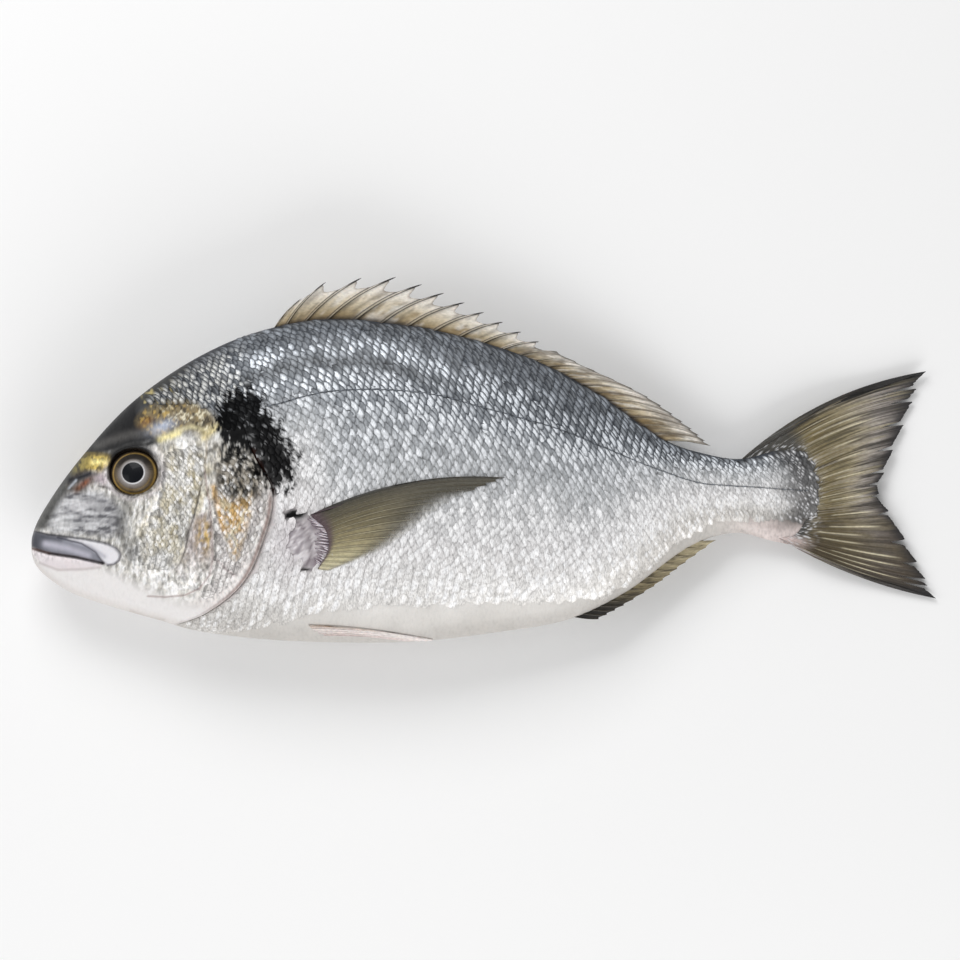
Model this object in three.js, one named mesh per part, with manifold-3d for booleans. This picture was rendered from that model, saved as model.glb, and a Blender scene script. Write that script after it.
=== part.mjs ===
// A whole gilt-head sea bream, raw and uncut, lying on its right side with its left flank up.
// The body, its plates and all its fins are one solid, and the two eyes sit in it as pieces of their own.
// Millimetres. While it is modelled, x runs from the snout to the tail, y from the body's mid line
// towards the back, and z from the fish's own middle plane towards its left flank.
import * as THREE from "three";
import { mergeVertices } from "three/addons/utils/BufferGeometryUtils.js";
import Module from "manifold-3d";

const wasm = await Module();
wasm.setup();

// Driving sizes of a portion-sized bream, 300 mm from the snout to the tips of the tail.
const BODY_LENGTH = 262; // from the snout to where the flesh ends between the tail's rays
const FLESH_WIDTH = 40; // across the thickest part of the body
const SNOUT_Y = -18.4;
const TAIL_SAG = 17; // how far the limp tail hangs below the middle plane
const HEAD_SAG = 2.5;
const RESTING_FLAT = 1.3; // how deep the flank that it lies on is pressed flat
const LONG_REACH = 400; // longer than the fish, for cutting

// How squarely the body's section leaves its middle and closes at its edge, above and below.
const BACK_SECTION = { flat: 1.9, round: 0.62 };
const BELLY_SECTION = { flat: 2.2, round: 0.56 };

// Outlines seen from the side, and half the body's width seen from above.
const BACK = [[0, SNOUT_Y], [1, -13.2], [6.3, -3.3], [17, 11.3], [36, 31.1], [64, 48.3], [89, 55.6],
  [109, 56.3], [135, 52.6], [165, 43.7], [188, 31.8], [210, 16.6], [225, 11.6], [236, 10.4], [250, 14],
  [262, 15]];
const BELLY = [[0, SNOUT_Y], [1.3, -24.3], [6.3, -29.6], [13, -33.8], [26, -38.4], [43, -43.2],
  [53, -46.2], [76, -49.3], [105, -50.5], [129, -50], [155, -47], [178.5, -42.7], [197, -33.8],
  [218, -18.9], [233, -14.2], [246, -17], [262, -20]];
const HALF_WIDTH = [[0, 0], [1, 0.19], [4, 0.33], [10, 0.46], [20, 0.6], [35, 0.75], [55, 0.89],
  [75, 0.98], [95, 1], [120, 0.98], [150, 0.87], [180, 0.68], [205, 0.47], [225, 0.33], [240, 0.23],
  [252, 0.14], [262, 0.05]];

// The edge of the gill cover, as x for each height, and the body station that it is drawn at.
const GILL_EDGE = [[-45, 47], [-41, 57.6], [-32, 69.2], [-20, 75.8], [-1, 80.1], [13, 73.2], [30, 68.5],
  [49, 65.2]];
const GILL_STATION = 78;
const GILL_STEP = 1.1; // height of the gill cover's rear edge over the flank behind it
const GILL_RISE = 30; // the cover rises to that height over this length
const GILL_TOP = 20; // the step dies out above this height
const GILL_FADE = 18;
const GILL_GAP = 0.5;
const GILL_REACH = 105; // how far behind the gill cover the stations still lean

// Where a paired fin springs from the flank, on a low fleshy mound.
const SHOULDER = { x: 92, y: -17, length: 6, height: 9, rise: 1.4 };
const ROOT_DEPTH = 3; // how deep the fins of the middle line are rooted
const SKIN_DEPTH = 1.2; // how deep the fins that lie on the flanks are rooted

// The dorsal fin: eleven spines and thirteen soft rays, all leaning back. Ray by ray from the front,
// x at its root and x at its tip, and then the height of the tips for each x.
const DORSAL_SPINES = 11;
const DORSAL_RAYS = 24;
const DORSAL_ROOTS = [[0, 80], [1, 84], [3, 97.3], [5, 115.5], [10, 155.3], [17, 185.5], [23, 209]];
const DORSAL_TIPS = [[0, 89.7], [1, 97.7], [3, 120.9], [5, 136.8], [8, 156.3], [12, 180.1], [16, 204.3],
  [20, 218.9], [23, 225.2]];
const DORSAL_HEIGHT = [[89.7, 63.6], [97.7, 68.9], [109, 70.2], [121, 70.5], [136.8, 65.2], [156.3, 55.6],
  [180.1, 42.7], [204.3, 30.8], [218.9, 20.2], [225.2, 14.6]];

// The other fins: the line along their roots and the line along the tips of their rays.
const TAIL_RAYS = 31;
const TAIL_TUFT = 4; // rays between two slits of the frayed edge
const TAIL_ROOTS = [[238, 8.5], [250, 11], [257, 5], [258, -2], [257, -9], [250, -16], [237, -12]];
const TAIL_TIPS = [[296.7, 39.4], [293, 30.5], [288.7, 19.5], [284, 7.9], [281.3, -1], [286.5, -10],
  [295, -25.5], [300, -36]];
const ANAL_RAYS = 14;
const ANAL_ROOTS = [[177, -41.2], [190, -35.8], [203, -27], [219, -16.5]];
const ANAL_TIPS = [[188, -42.8], [197, -37.8], [208, -30.8], [216, -24.6], [227, -16.6]];
const PECTORAL_RAYS = 15;
const PECTORAL_ROOTS = [[91, -7.8], [96, -13], [97, -19.5], [94, -26]];
const PECTORAL_TIPS = [[157.6, 4], [149, 0.8], [138.7, -4], [129, -11], [119, -18], [109, -23],
  [99.5, -26.5]];
const PELVIC_RAYS = 5;
const PELVIC_ROOTS = [[92, -44.6], [94, -46.4], [97, -47.6]];
const PELVIC_TIPS = [[127, -48.2], [133, -49.4], [124, -49.6]];

// How finely the body is faceted: rings along the head and the trunk, and steps up each flank.
const HEAD_RINGS = 18;
const TRUNK_RINGS = 22;
const FLANK_STEPS = 17;
const SNOUT_CROWDING = 1.6; // rings crowd together towards the snout by this power
const FIRST_RING = 0.02;

const EYE = { x: 34.1, y: 6, radius: 8.2, height: 7.5, depth: 4.6, sunk: 2.4, clearance: 0.35 };
const NOSTRIL = { x: 17.1, y: 4.2, length: 3.6, height: 1.3, depth: 0.9, tilt: 0.37 };
const MOUTH = [[-2, -19], [6, -20.9], [15, -22.2], [24, -24.2]];
const UPPER_LIP = [[-2, -13.2], [6, -14.8], [18, -16.2], [25, -17.6], [30, -20.4], [29, -23.4],
  [25.5, -24.8]];
const CHEEK_RIDGE = [[57, 3], [54, -9], [51.5, -19], [47, -27]];
const CHEEK_EDGE = [[57.5, 7], [60, -8], [60.3, -22], [56, -32], [48, -35.4], [38, -35.2]];

// How x is spread out for the body's own curves: the snout gets more of it, so that it can end bluntly.
const fromSnout = (x) => Math.sqrt(Math.max(x, 0));
const evenly = (x) => x;

// A smooth curve through a few knots, as a function.
function through(knots, spread) {
  const s = knots.map(([x]) => spread(x));
  const v = knots.map((k) => k[1]);
  const slope = s.map((_, i) => {
    const a = Math.max(i - 1, 0);
    const b = Math.min(i + 1, s.length - 1);
    return (v[b] - v[a]) / (s[b] - s[a]);
  });
  return (x) => {
    const t = Math.min(Math.max(spread(x), s[0]), s.at(-1));
    const i = Math.max(s.findIndex((_, k) => k + 2 > s.length - 1 || t <= s[k + 1]), 0);
    const h = s[i + 1] - s[i];
    const u = (t - s[i]) / h;
    return (1 + 2 * u) * (1 - u) ** 2 * v[i] + u * (1 - u) ** 2 * h * slope[i]
      + u * u * (3 - 2 * u) * v[i + 1] + u * u * (u - 1) * h * slope[i + 1];
  };
}

const back = through(BACK, fromSnout);
const belly = through(BELLY, fromSnout);
const fullness = through(HALF_WIDTH, fromSnout);
const gillEdge = through(GILL_EDGE, evenly);
const smoothstep = THREE.MathUtils.smoothstep;
const lerp = THREE.MathUtils.lerp;

// The body is highest and fattest behind the head, and sags towards what it lies on at both ends.
function middle(x) {
  return -TAIL_SAG * smoothstep(x, 125, 305) - HEAD_SAG * smoothstep(75 - x, 0, 75);
}

// Half the body's thickness at a point of the side view. The back is a blunt ridge and the belly is round.
function thickness(x, y) {
  const centre = (back(x) + belly(x)) / 2;
  const eta = Math.min(Math.abs(y - centre) / Math.max((back(x) - belly(x)) / 2, 0.01), 1);
  const { flat, round } = y > centre ? BACK_SECTION : BELLY_SECTION;
  return (FLESH_WIDTH / 2) * fullness(x) * (1 - eta ** flat) ** round;
}

// How far a station of the body leans with the gill cover's edge at this height.
function lean(station, y) {
  const share = station < GILL_STATION
    ? smoothstep(station, 0, GILL_STATION)
    : 1 - smoothstep(station, GILL_STATION + GILL_GAP, GILL_STATION + GILL_REACH);
  return share * (gillEdge(y) - GILL_STATION);
}

// Plates that stand out from the smooth body: the gill cover and the fleshy base of the paired fin.
function relief(station, x, y) {
  const along = station <= GILL_STATION ? smoothstep(station, GILL_STATION - GILL_RISE, GILL_STATION) : 0;
  const cover = GILL_STEP * along * (1 - smoothstep(y, GILL_TOP - GILL_FADE, GILL_TOP));
  const [u, v] = [(x - SHOULDER.x) / SHOULDER.length, (y - SHOULDER.y) / SHOULDER.height];
  return cover + SHOULDER.rise * Math.exp(-u * u - v * v);
}

// A point on a flank, lifted off it. Side is 1 on the left and -1 on the right.
function onFlank(x, y, side, lift = 0) {
  const d = 0.4;
  const slopeX = (thickness(x + d, y) - thickness(x - d, y)) / (2 * d);
  const slopeY = (thickness(x, y + d) - thickness(x, y - d)) / (2 * d);
  const normal = new THREE.Vector3(-slopeX, -slopeY, side).normalize();
  return new THREE.Vector3(x, y, middle(x) + side * thickness(x, y)).addScaledVector(normal, lift);
}

// One closed skin over a row of rings, each ring with the same number of points, closed at both ends.
function skin(rings) {
  const round = rings[0].length;
  const corners = rings.flat();
  const middles = [rings[0], rings.at(-1)].map((ring) =>
    ring.reduce((sum, p) => sum.add(p), new THREE.Vector3()).divideScalar(round));
  corners.push(...middles);
  const faces = [];
  for (let i = 0; i + 1 < rings.length; i += 1) {
    for (let j = 0; j < round; j += 1) {
      const [a, b] = [i * round + j, i * round + ((j + 1) % round)];
      faces.push([a, b, b + round], [a, b + round, a + round]);
    }
  }
  const last = (rings.length - 1) * round;
  for (let j = 0; j < round; j += 1) {
    const k = (j + 1) % round;
    faces.push([k, j, rings.length * round], [last + j, last + k, rings.length * round + 1]);
  }
  const geometry = new THREE.BufferGeometry().setFromPoints(corners);
  geometry.setIndex(faces.flat());
  return geometry;
}

// A closed geometry as a solid for joining and cutting, turned the right way out.
function solid(geometry) {
  const bare = geometry.clone();
  bare.deleteAttribute("normal");
  bare.deleteAttribute("uv");
  const merged = mergeVertices(bare, 1e-4);
  const position = merged.attributes.position.array;
  const corner = (i) => new THREE.Vector3().fromArray(position, 3 * i);
  let triangles = [];
  for (let i = 0; i < merged.index.count; i += 3) {
    const [a, b, c] = merged.index.array.slice(i, i + 3);
    if (a !== b && b !== c && c !== a) triangles.push([a, b, c]);
  }
  const volume = triangles.reduce((sum, [a, b, c]) => sum + corner(a).dot(corner(b).cross(corner(c))), 0);
  if (volume < 0) triangles = triangles.map(([a, b, c]) => [a, c, b]);
  const mesh = new wasm.Mesh({
    numProp: 3,
    vertProperties: new Float32Array(position),
    triVerts: new Uint32Array(triangles.flat()),
  });
  return new wasm.Manifold(mesh);
}

// The solid's faces as a geometry again.
function geometryOf(manifold) {
  const { vertProperties, triVerts } = manifold.getMesh();
  const geometry = new THREE.BufferGeometry();
  geometry.setAttribute("position", new THREE.BufferAttribute(vertProperties, 3));
  geometry.setIndex(new THREE.BufferAttribute(triVerts, 1));
  geometry.computeVertexNormals();
  return geometry;
}

// The body without fins, from rings that lean with the gill cover's edge.
function body() {
  const stations = [];
  for (let i = 0; i <= HEAD_RINGS; i += 1) {
    stations.push(GILL_STATION * Math.max(i / HEAD_RINGS, FIRST_RING) ** SNOUT_CROWDING);
  }
  for (let i = 0; i <= TRUNK_RINGS; i += 1) {
    stations.push(lerp(GILL_STATION + GILL_GAP, BODY_LENGTH, i / TRUNK_RINGS));
  }
  return solid(skin(stations.map(bodyRing)));
}

// One ring of the body, up the left flank and down the right one. Reliefs fade out towards its thin edges.
function bodyRing(station) {
  const top = ringEnd(station, back);
  const bottom = ringEnd(station, belly);
  const point = (side, j) => {
    const y = lerp(bottom, top, (1 - Math.cos((Math.PI * j) / FLANK_STEPS)) / 2);
    const x = station + lean(station, y);
    const flesh = thickness(x, y);
    const z = flesh + relief(station, x, y) * Math.min(flesh / 3, 1);
    return new THREE.Vector3(x, y, middle(x) + side * z);
  };
  const left = Array.from({ length: FLANK_STEPS }, (_, j) => point(1, j));
  const right = Array.from({ length: FLANK_STEPS }, (_, j) => point(-1, FLANK_STEPS - j));
  return [...left, ...right];
}

// The height at which a leaning ring meets an outline, closed in on step by step.
function ringEnd(station, outline) {
  let x = station;
  for (let n = 0; n < 30; n += 1) {
    x = lerp(x, station + lean(station, outline(x)), 0.6);
  }
  return outline(x);
}

// A fin's rays fan out from a root line to a tip line. The web between two rays ends short of their tips.
// Each column of the skin follows one ray or one line of the web, bowed sideways by a share of its length.
function fin({ root, tip, rays, web, bow, place, rayThick, webThick, rows = 4, reach = () => 1 }) {
  const column = (s, share, thick) => {
    const a = root(s);
    const b = tip(s);
    const across = new THREE.Vector2(a.y - b.y, b.x - a.x).multiplyScalar(bow(s) * 2);
    const control = a.clone().lerp(b, 0.5).add(across);
    const curve = new THREE.QuadraticBezierCurve(a, control, b);
    const faces = Array.from({ length: rows + 1 }, (_, k) => {
      const t = (share * k) / rows;
      const p = curve.getPoint(t);
      return place(p.x, p.y, lerp(thick[0], thick[1], t));
    });
    return [...faces.map((f) => f[0]), ...faces.reverse().map((f) => f[1])];
  };
  const rings = [];
  for (let i = 0; i < rays; i += 1) {
    const s = i / (rays - 1);
    rings.push(column(s, reach(s, i), rayThick));
    const between = i + 1 < rays ? web(i) : [];
    for (const [at, share] of between) {
      rings.push(column((i + at) / (rays - 1), share, webThick));
    }
  }
  return solid(skin(rings));
}

// Points at even shares of a smooth line through a few corners.
const line = (corners) => {
  const curve = new THREE.SplineCurve(corners.map(([x, y]) => new THREE.Vector2(x, y)));
  return (s) => curve.getPoint(s);
};

// Where a fin of the middle plane has its two faces. Its free edge waves a little.
function inMiddle(waves, swing) {
  return (x, y, thick) => {
    const z = middle(x) + swing * Math.sin(waves * x + y / 9);
    return [new THREE.Vector3(x, y, z - thick / 2), new THREE.Vector3(x, y, z + thick / 2)];
  };
}

// Where a fin that lies against a flank has its two faces: one just under the skin and one over it.
function againstFlank(side) {
  return (x, y, thick) => [onFlank(x, y, side, -SKIN_DEPTH), onFlank(x, y, side, thick)];
}

// Hard spines with a scalloped web, and soft rays behind them.
function dorsalFin() {
  const rootX = through(DORSAL_ROOTS, evenly);
  const tipX = through(DORSAL_TIPS, evenly);
  const height = through(DORSAL_HEIGHT, evenly);
  const last = DORSAL_RAYS - 1;
  return fin({
    rays: DORSAL_RAYS,
    root: (s) => new THREE.Vector2(rootX(s * last), back(rootX(s * last)) - ROOT_DEPTH),
    tip: (s) => new THREE.Vector2(tipX(s * last), height(tipX(s * last))),
    bow: () => 0.04,
    web: (i) => (i < DORSAL_SPINES ? [[0.08, 0.86], [0.92, 0.7]] : [[0.5, 0.93]]),
    rayThick: [1.9, 0.7],
    webThick: [0.9, 0.5],
    place: inMiddle(0.12, 0.7),
  });
}

// A forked fin whose frayed rays part into tufts.
function tailFin() {
  return fin({
    rays: TAIL_RAYS,
    root: line(TAIL_ROOTS),
    tip: line(TAIL_TIPS),
    bow: (s) => lerp(0.075, -0.045, s),
    web: (i) => [[0.5, i % TAIL_TUFT === TAIL_TUFT - 1 ? 0.84 : 0.965]],
    reach: (s, i) => (i % TAIL_TUFT === 0 ? 0.97 : 1),
    rayThick: [2.6, 0.8],
    webThick: [1.6, 0.5],
    place: inMiddle(0.05, 0.9),
    rows: 5,
  });
}

// Three spines and eleven rays, half folded against the belly.
function analFin() {
  return fin({
    rays: ANAL_RAYS,
    root: line(ANAL_ROOTS),
    tip: line(ANAL_TIPS),
    bow: () => -0.05,
    web: () => [[0.5, 0.88]],
    rayThick: [1.7, 0.7],
    webThick: [0.9, 0.5],
    place: inMiddle(0.1, 0.5),
    rows: 3,
  });
}

// The long pointed fin behind the gill cover, wet and flat against the flank.
function pectoralFin(side) {
  return fin({
    rays: PECTORAL_RAYS,
    root: line(PECTORAL_ROOTS),
    tip: line(PECTORAL_TIPS),
    bow: (s) => 0.07 * (1 - s),
    web: () => [[0.5, 0.98]],
    rayThick: [1.5, 0.7],
    webThick: [1.1, 0.45],
    place: againstFlank(side),
    rows: 5,
  });
}

// The fin under the chest, folded back along the belly.
function pelvicFin(side) {
  return fin({
    rays: PELVIC_RAYS,
    root: line(PELVIC_ROOTS),
    tip: line(PELVIC_TIPS),
    bow: () => 0.02,
    web: () => [[0.5, 0.97]],
    rayThick: [1.7, 0.8],
    webThick: [1.2, 0.6],
    place: againstFlank(side),
    rows: 4,
  });
}

// A narrow groove along a line on both flanks: the mouth, the lips and the borders of the cheek.
function grooves(corners, width, depth) {
  const outline = line(corners);
  const steps = 12;
  return [1, -1].map((side) => {
    const path = new THREE.CatmullRomCurve3(
      Array.from({ length: steps + 1 }, (_, i) => {
        const p = outline(i / steps);
        return onFlank(Math.max(p.x, 0.3), p.y, side).setX(p.x);
      }),
    );
    const section = new THREE.Shape([
      new THREE.Vector2(-depth, 0),
      new THREE.Vector2(0, -width / 2),
      new THREE.Vector2(depth, 0),
      new THREE.Vector2(0, width / 2),
    ]);
    return solid(new THREE.ExtrudeGeometry(section, { steps, extrudePath: path, bevelEnabled: false }));
  });
}

// A flattened ball set into the head, facing the way the cheek faces. Extra makes the socket round it.
function eyeball(side, extra = 0) {
  const ball = new THREE.SphereGeometry(1, 24, 12);
  ball.scale(EYE.radius + extra, EYE.height + extra, EYE.depth + extra);
  const surface = onFlank(EYE.x, EYE.y, side);
  const facing = onFlank(EYE.x, EYE.y, side, 1).sub(surface);
  const turn = new THREE.Quaternion().setFromUnitVectors(new THREE.Vector3(0, 0, side), facing);
  ball.applyQuaternion(turn);
  const centre = surface.addScaledVector(facing, -EYE.sunk);
  ball.translate(centre.x, centre.y, centre.z);
  return ball;
}

// A shallow oval pit in front of the eye.
function nostril(side) {
  const pit = new THREE.SphereGeometry(1, 10, 6);
  pit.scale(NOSTRIL.length, NOSTRIL.height, NOSTRIL.depth);
  pit.rotateZ(NOSTRIL.tilt);
  const at = onFlank(NOSTRIL.x, NOSTRIL.y, side);
  pit.translate(at.x, at.y, at.z);
  return pit;
}

// A block that holds everything over the surface on which the fish lies.
function overTheTable() {
  const block = new THREE.BoxGeometry(LONG_REACH, LONG_REACH, LONG_REACH);
  block.translate(LONG_REACH / 3, 0, LONG_REACH / 2 - FLESH_WIDTH / 2 + RESTING_FLAT);
  return solid(block);
}

function wholeFish() {
  let fish = body();
  const added = [dorsalFin(), tailFin(), analFin()];
  for (const side of [1, -1]) added.push(pectoralFin(side), pelvicFin(side));
  for (const piece of added) fish = fish.add(piece);
  const cuts = [
    ...grooves(MOUTH, 1.1, 1.5),
    ...grooves(UPPER_LIP, 0.8, 0.8),
    ...grooves(CHEEK_RIDGE, 0.8, 0.6),
    ...grooves(CHEEK_EDGE, 0.7, 0.6),
    ...[1, -1].flatMap((side) => [solid(eyeball(side, EYE.clearance)), solid(nostril(side))]),
  ];
  for (const cut of cuts) fish = fish.subtract(cut);
  return fish.intersect(overTheTable());
}

const SKIN = new THREE.MeshStandardMaterial({
  name: "skin",
  color: 0x9a9fa3,
  roughness: 0.32,
  metalness: 0.35,
});
const EYE_FINISH = new THREE.MeshStandardMaterial({
  name: "eye",
  color: 0x3a3226,
  roughness: 0.12,
  metalness: 0.1,
});

const fish = new THREE.Mesh(geometryOf(wholeFish()), SKIN);
fish.name = "fish";
const leftEye = new THREE.Mesh(eyeball(1), EYE_FINISH);
leftEye.name = "eye_left";
const rightEye = new THREE.Mesh(eyeball(-1), EYE_FINISH);
rightEye.name = "eye_right";

// The frame's origin is under the middle of the whole fish, on the surface that it lies on.
const bream = new THREE.Group();
bream.add(fish, leftEye, rightEye);
const bounds = new THREE.Box3().setFromObject(bream);
const centre = bounds.getCenter(new THREE.Vector3());
bream.position.set(-centre.x, -centre.y, -bounds.min.z);

export default bream;
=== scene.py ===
"""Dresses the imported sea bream: wet skin, overlapping scales, rayed fins and glossy eyes, on a white table.

Sizes are millimetres along the fish's own axes: x from its snout to its tail, y up its side from the belly
to the back, and z from its middle plane out of its left flank. place() turns them into the frame's metres.
Tints are given as they look on a screen.
"""
import bpy
import math
import numpy as np
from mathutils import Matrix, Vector


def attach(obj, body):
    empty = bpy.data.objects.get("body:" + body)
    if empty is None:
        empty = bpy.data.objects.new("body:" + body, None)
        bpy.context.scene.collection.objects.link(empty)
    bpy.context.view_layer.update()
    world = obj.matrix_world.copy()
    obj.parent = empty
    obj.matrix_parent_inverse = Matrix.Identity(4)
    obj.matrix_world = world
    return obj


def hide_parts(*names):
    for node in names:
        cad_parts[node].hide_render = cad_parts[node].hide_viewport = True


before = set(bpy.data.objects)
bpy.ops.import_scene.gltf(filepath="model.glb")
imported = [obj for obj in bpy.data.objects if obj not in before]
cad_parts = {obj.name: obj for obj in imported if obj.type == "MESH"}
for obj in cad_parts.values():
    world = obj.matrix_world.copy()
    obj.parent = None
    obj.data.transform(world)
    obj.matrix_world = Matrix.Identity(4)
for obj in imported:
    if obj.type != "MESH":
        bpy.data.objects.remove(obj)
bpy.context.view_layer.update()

# Driving sizes, which are the solid model's own
BODY_LENGTH = 262
FLESH_WIDTH = 40
SNOUT_Y = -18.4
TAIL_SAG = 17
HEAD_SAG = 2.5
RESTING_FLAT = 1.3
TABLE_Z = RESTING_FLAT - FLESH_WIDTH / 2
ORIGIN = np.array([-150.0747, -9.9856, -TABLE_Z])
BACK_SECTION = (1.9, 0.62)
BELLY_SECTION = (2.2, 0.56)
BACK = [(0, SNOUT_Y), (1, -13.2), (6.3, -3.3), (17, 11.3), (36, 31.1), (64, 48.3), (89, 55.6), (109, 56.3),
        (135, 52.6), (165, 43.7), (188, 31.8), (210, 16.6), (225, 11.6), (236, 10.4), (250, 14), (262, 15)]
BELLY = [(0, SNOUT_Y), (1.3, -24.3), (6.3, -29.6), (13, -33.8), (26, -38.4), (43, -43.2), (53, -46.2),
         (76, -49.3), (105, -50.5), (129, -50), (155, -47), (178.5, -42.7), (197, -33.8), (218, -18.9),
         (233, -14.2), (246, -17), (262, -20)]
HALF_WIDTH = [(0, 0), (1, 0.19), (4, 0.33), (10, 0.46), (20, 0.6), (35, 0.75), (55, 0.89), (75, 0.98),
              (95, 1), (120, 0.98), (150, 0.87), (180, 0.68), (205, 0.47), (225, 0.33), (240, 0.23),
              (252, 0.14), (262, 0.05)]
GILL_EDGE = [(-45, 47), (-41, 57.6), (-32, 69.2), (-20, 75.8), (-1, 80.1), (13, 73.2), (30, 68.5), (49, 65.2)]
GILL_STATION = 78
GILL_STEP = 1.1
GILL_RISE = 30
GILL_TOP = 20
GILL_FADE = 18
GILL_REACH = 105
GILL_TUCK = 7  # how far the trunk's skin runs on under the gill cover
SHOULDER = (92, -17, 6, 9, 1.4)  # centre, length, height and rise of the paired fin's fleshy base
EYE = (34.1, 6.0)
EYE_RADII = (8.2, 7.5, 4.6)
EYE_SUNK = 2.4
DORSAL_SPINES = 11
DORSAL_RAYS = 24
DORSAL_ROOTS = [(0, 80), (1, 84), (3, 97.3), (5, 115.5), (10, 155.3), (17, 185.5), (23, 209)]
DORSAL_TIPS = [(0, 89.7), (1, 97.7), (3, 120.9), (5, 136.8), (8, 156.3), (12, 180.1), (16, 204.3),
               (20, 218.9), (23, 225.2)]
DORSAL_HEIGHT = [(89.7, 63.6), (97.7, 68.9), (109, 70.2), (121, 70.5), (136.8, 65.2), (156.3, 55.6),
                 (180.1, 42.7), (204.3, 30.8), (218.9, 20.2), (225.2, 14.6)]
TAIL_RAYS = 31
TAIL_ROOTS = [(234, 9), (248, 11.5), (257, 5), (258, -2), (257, -9), (253, -15), (247, -15.5)]
TAIL_TIPS = [(296.7, 39.4), (293, 30.5), (288.7, 19.5), (284, 7.9), (281.3, -1), (286.5, -10), (295, -25.5),
             (300, -36)]
ANAL_RAYS = 14
ANAL_ROOTS = [(177, -41.2), (190, -35.8), (203, -27), (219, -16.5)]
ANAL_TIPS = [(188, -42.8), (197, -37.8), (208, -30.8), (216, -24.6), (227, -16.6)]
PECTORAL_RAYS = 16
PECTORAL_ROOTS = [(92.5, -8.2), (97.6, -13), (98.6, -19.5), (95, -26)]
PECTORAL_TIPS = [(157.6, 4), (149, 0.8), (138.7, -4), (129, -11), (119, -18), (109, -23), (99.5, -26.5)]
PELVIC_RAYS = 5
PELVIC_ROOTS = [(92, -44.6), (94, -46.4), (97, -47.6)]
PELVIC_TIPS = [(127, -48.2), (133, -49.4), (124, -49.6)]

# Lines and areas of the head and flank, in the side view
NOSTRIL = [(13.2, 2.9), (19.6, 5.4)]
MOUTH = [(-1, -19), (6, -20.9), (15, -22.2), (24, -24.2)]
UPPER_LIP = [(-1, -13.2), (6, -14.8), (18, -16.2), (25, -17.6), (28.6, -19.2), (30, -21.2), (29.4, -23.2),
             (27.6, -24.6), (25.4, -24.9)]
INNER_LIP = [(9, -15.7), (16.9, -17.7), (21.5, -20.5), (24, -24)]
LOWER_LIP = [(3, -24.2), (9, -26.4), (17, -26.2), (23, -25.6)]
UPPER_LIP_AREA = UPPER_LIP + MOUTH[::-1]
LOWER_LIP_AREA = MOUTH + LOWER_LIP[::-1]
MAXILLA = [(11, -15.8), (18, -16.4), (25, -17.8), (29.6, -20.4), (29, -23.6), (26, -24.8), (24, -23.6),
           (21.5, -20.4), (16, -17.4)]
CHEEK_RIDGE = [(57, 3.3), (54.3, -8.3), (52.6, -13.2), (51.3, -19.9), (49.3, -24.8), (46, -28.1)]
CHEEK_EDGE = [(57.6, 6.6), (59.6, -6.6), (60.1, -16.6), (60.3, -23.2), (59.3, -28.1), (56, -32.5),
              (51, -34.8), (44.4, -35.4), (38.7, -35.1)]
COVER_SEAM = [(61.9, -23.2), (64.5, -26), (67.6, -28.2)]
SIDE_LINE = [(65, 23), (76.5, 27.2), (82.5, 28.5), (89.1, 30.5), (99, 32.5), (112.3, 33.1), (125.5, 32.5),
             (135.4, 31.1), (148.7, 27.5), (161.9, 23.8), (175.2, 19.9), (188.4, 14.6), (201.7, 8.9),
             (211.6, 5.3), (221.5, 2.3), (238.1, 1.0), (262, -0.5)]
GILL_SLIT = [(73.6, 12), (74.8, 9), (77, 4), (79.4, -0.8)]
SHOULDER_GROOVE = [(87.5, -10.5), (90.3, -12.6), (92.9, -17.6), (92.5, -22.6), (90.3, -25.9)]
PROFILE = [(0, SNOUT_Y), (1, -13.2), (6.3, -3.3), (17, 11.3), (36, 31.1), (50, 41.4)]
FACE = [(-3, -30), (-3, -4), (15, 9), (36, 16), (60, 19), (72, 14), (82, 0), (75, -24), (60, -38), (30, -38)]
SNOUT = [(3, -13.5), (7, -6), (12, 0.5), (20, 0), (27, -2), (31, -9), (30, -15.5), (18, -15)]
FOREHEAD = [(4, -6), (17, 11.6), (27.8, 12.3), (33, 14.9), (38.2, 15.4), (42.2, 17), (38.2, 21.4),
            (35.6, 24.7), (35, 28), (38, 36), (20, 24)]
NAPE = [(34, 27.6), (45, 29.5), (52, 30), (58, 28), (63, 23), (68, 20), (74, 26), (78, 64), (30, 64)]
BLOTCH = [(65.1, 31.3), (73.6, 31.9), (77.5, 26), (80.8, 24.1), (83.4, 16.9), (87.4, 11.6), (86, 3.8),
          (83.4, 1.1), (78.2, 3.8), (74.9, 11.6), (68.4, 12.3), (65.7, 15.5), (61.8, 21.4)]
TAIL_ROOT = [(-17, 246), (-14.9, 251.3), (-9.9, 256.3), (-5, 260.6), (0, 260.6), (6.6, 258.6), (12.6, 254.6),
             (14.2, 249)]  # where the flesh and the scales end, as x for each height

# The picture's frame: one pixel of the 960 pixel picture is this long at the fish's middle plane
PICTURE = 960
MM_PER_PIXEL = 300 / 906
SNOUT_PIXEL = (31, 490)

# How finely the skin is divided: rings along the body, and steps up each flank
HEAD_RINGS, HEAD_STEPS = 230, 200
GILL_RINGS, TRUNK_RINGS, TRUNK_STEPS = 24, 215, 160

# The plates of the scales: how far apart they stand, how far their rear edges rise, and their draw
TRUNK_PLATES = {"pitch": 2.7, "row_pitch": 1.85, "lift": 0.4, "seed": 81}
HEAD_PLATES = {"pitch": 2.2, "row_pitch": 1.4, "lift": 0.16, "seed": 82}


# Curves and masks
def from_snout(x):
    return np.sqrt(np.maximum(x, 0))


def evenly(x):
    return np.asarray(x, float)


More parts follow.
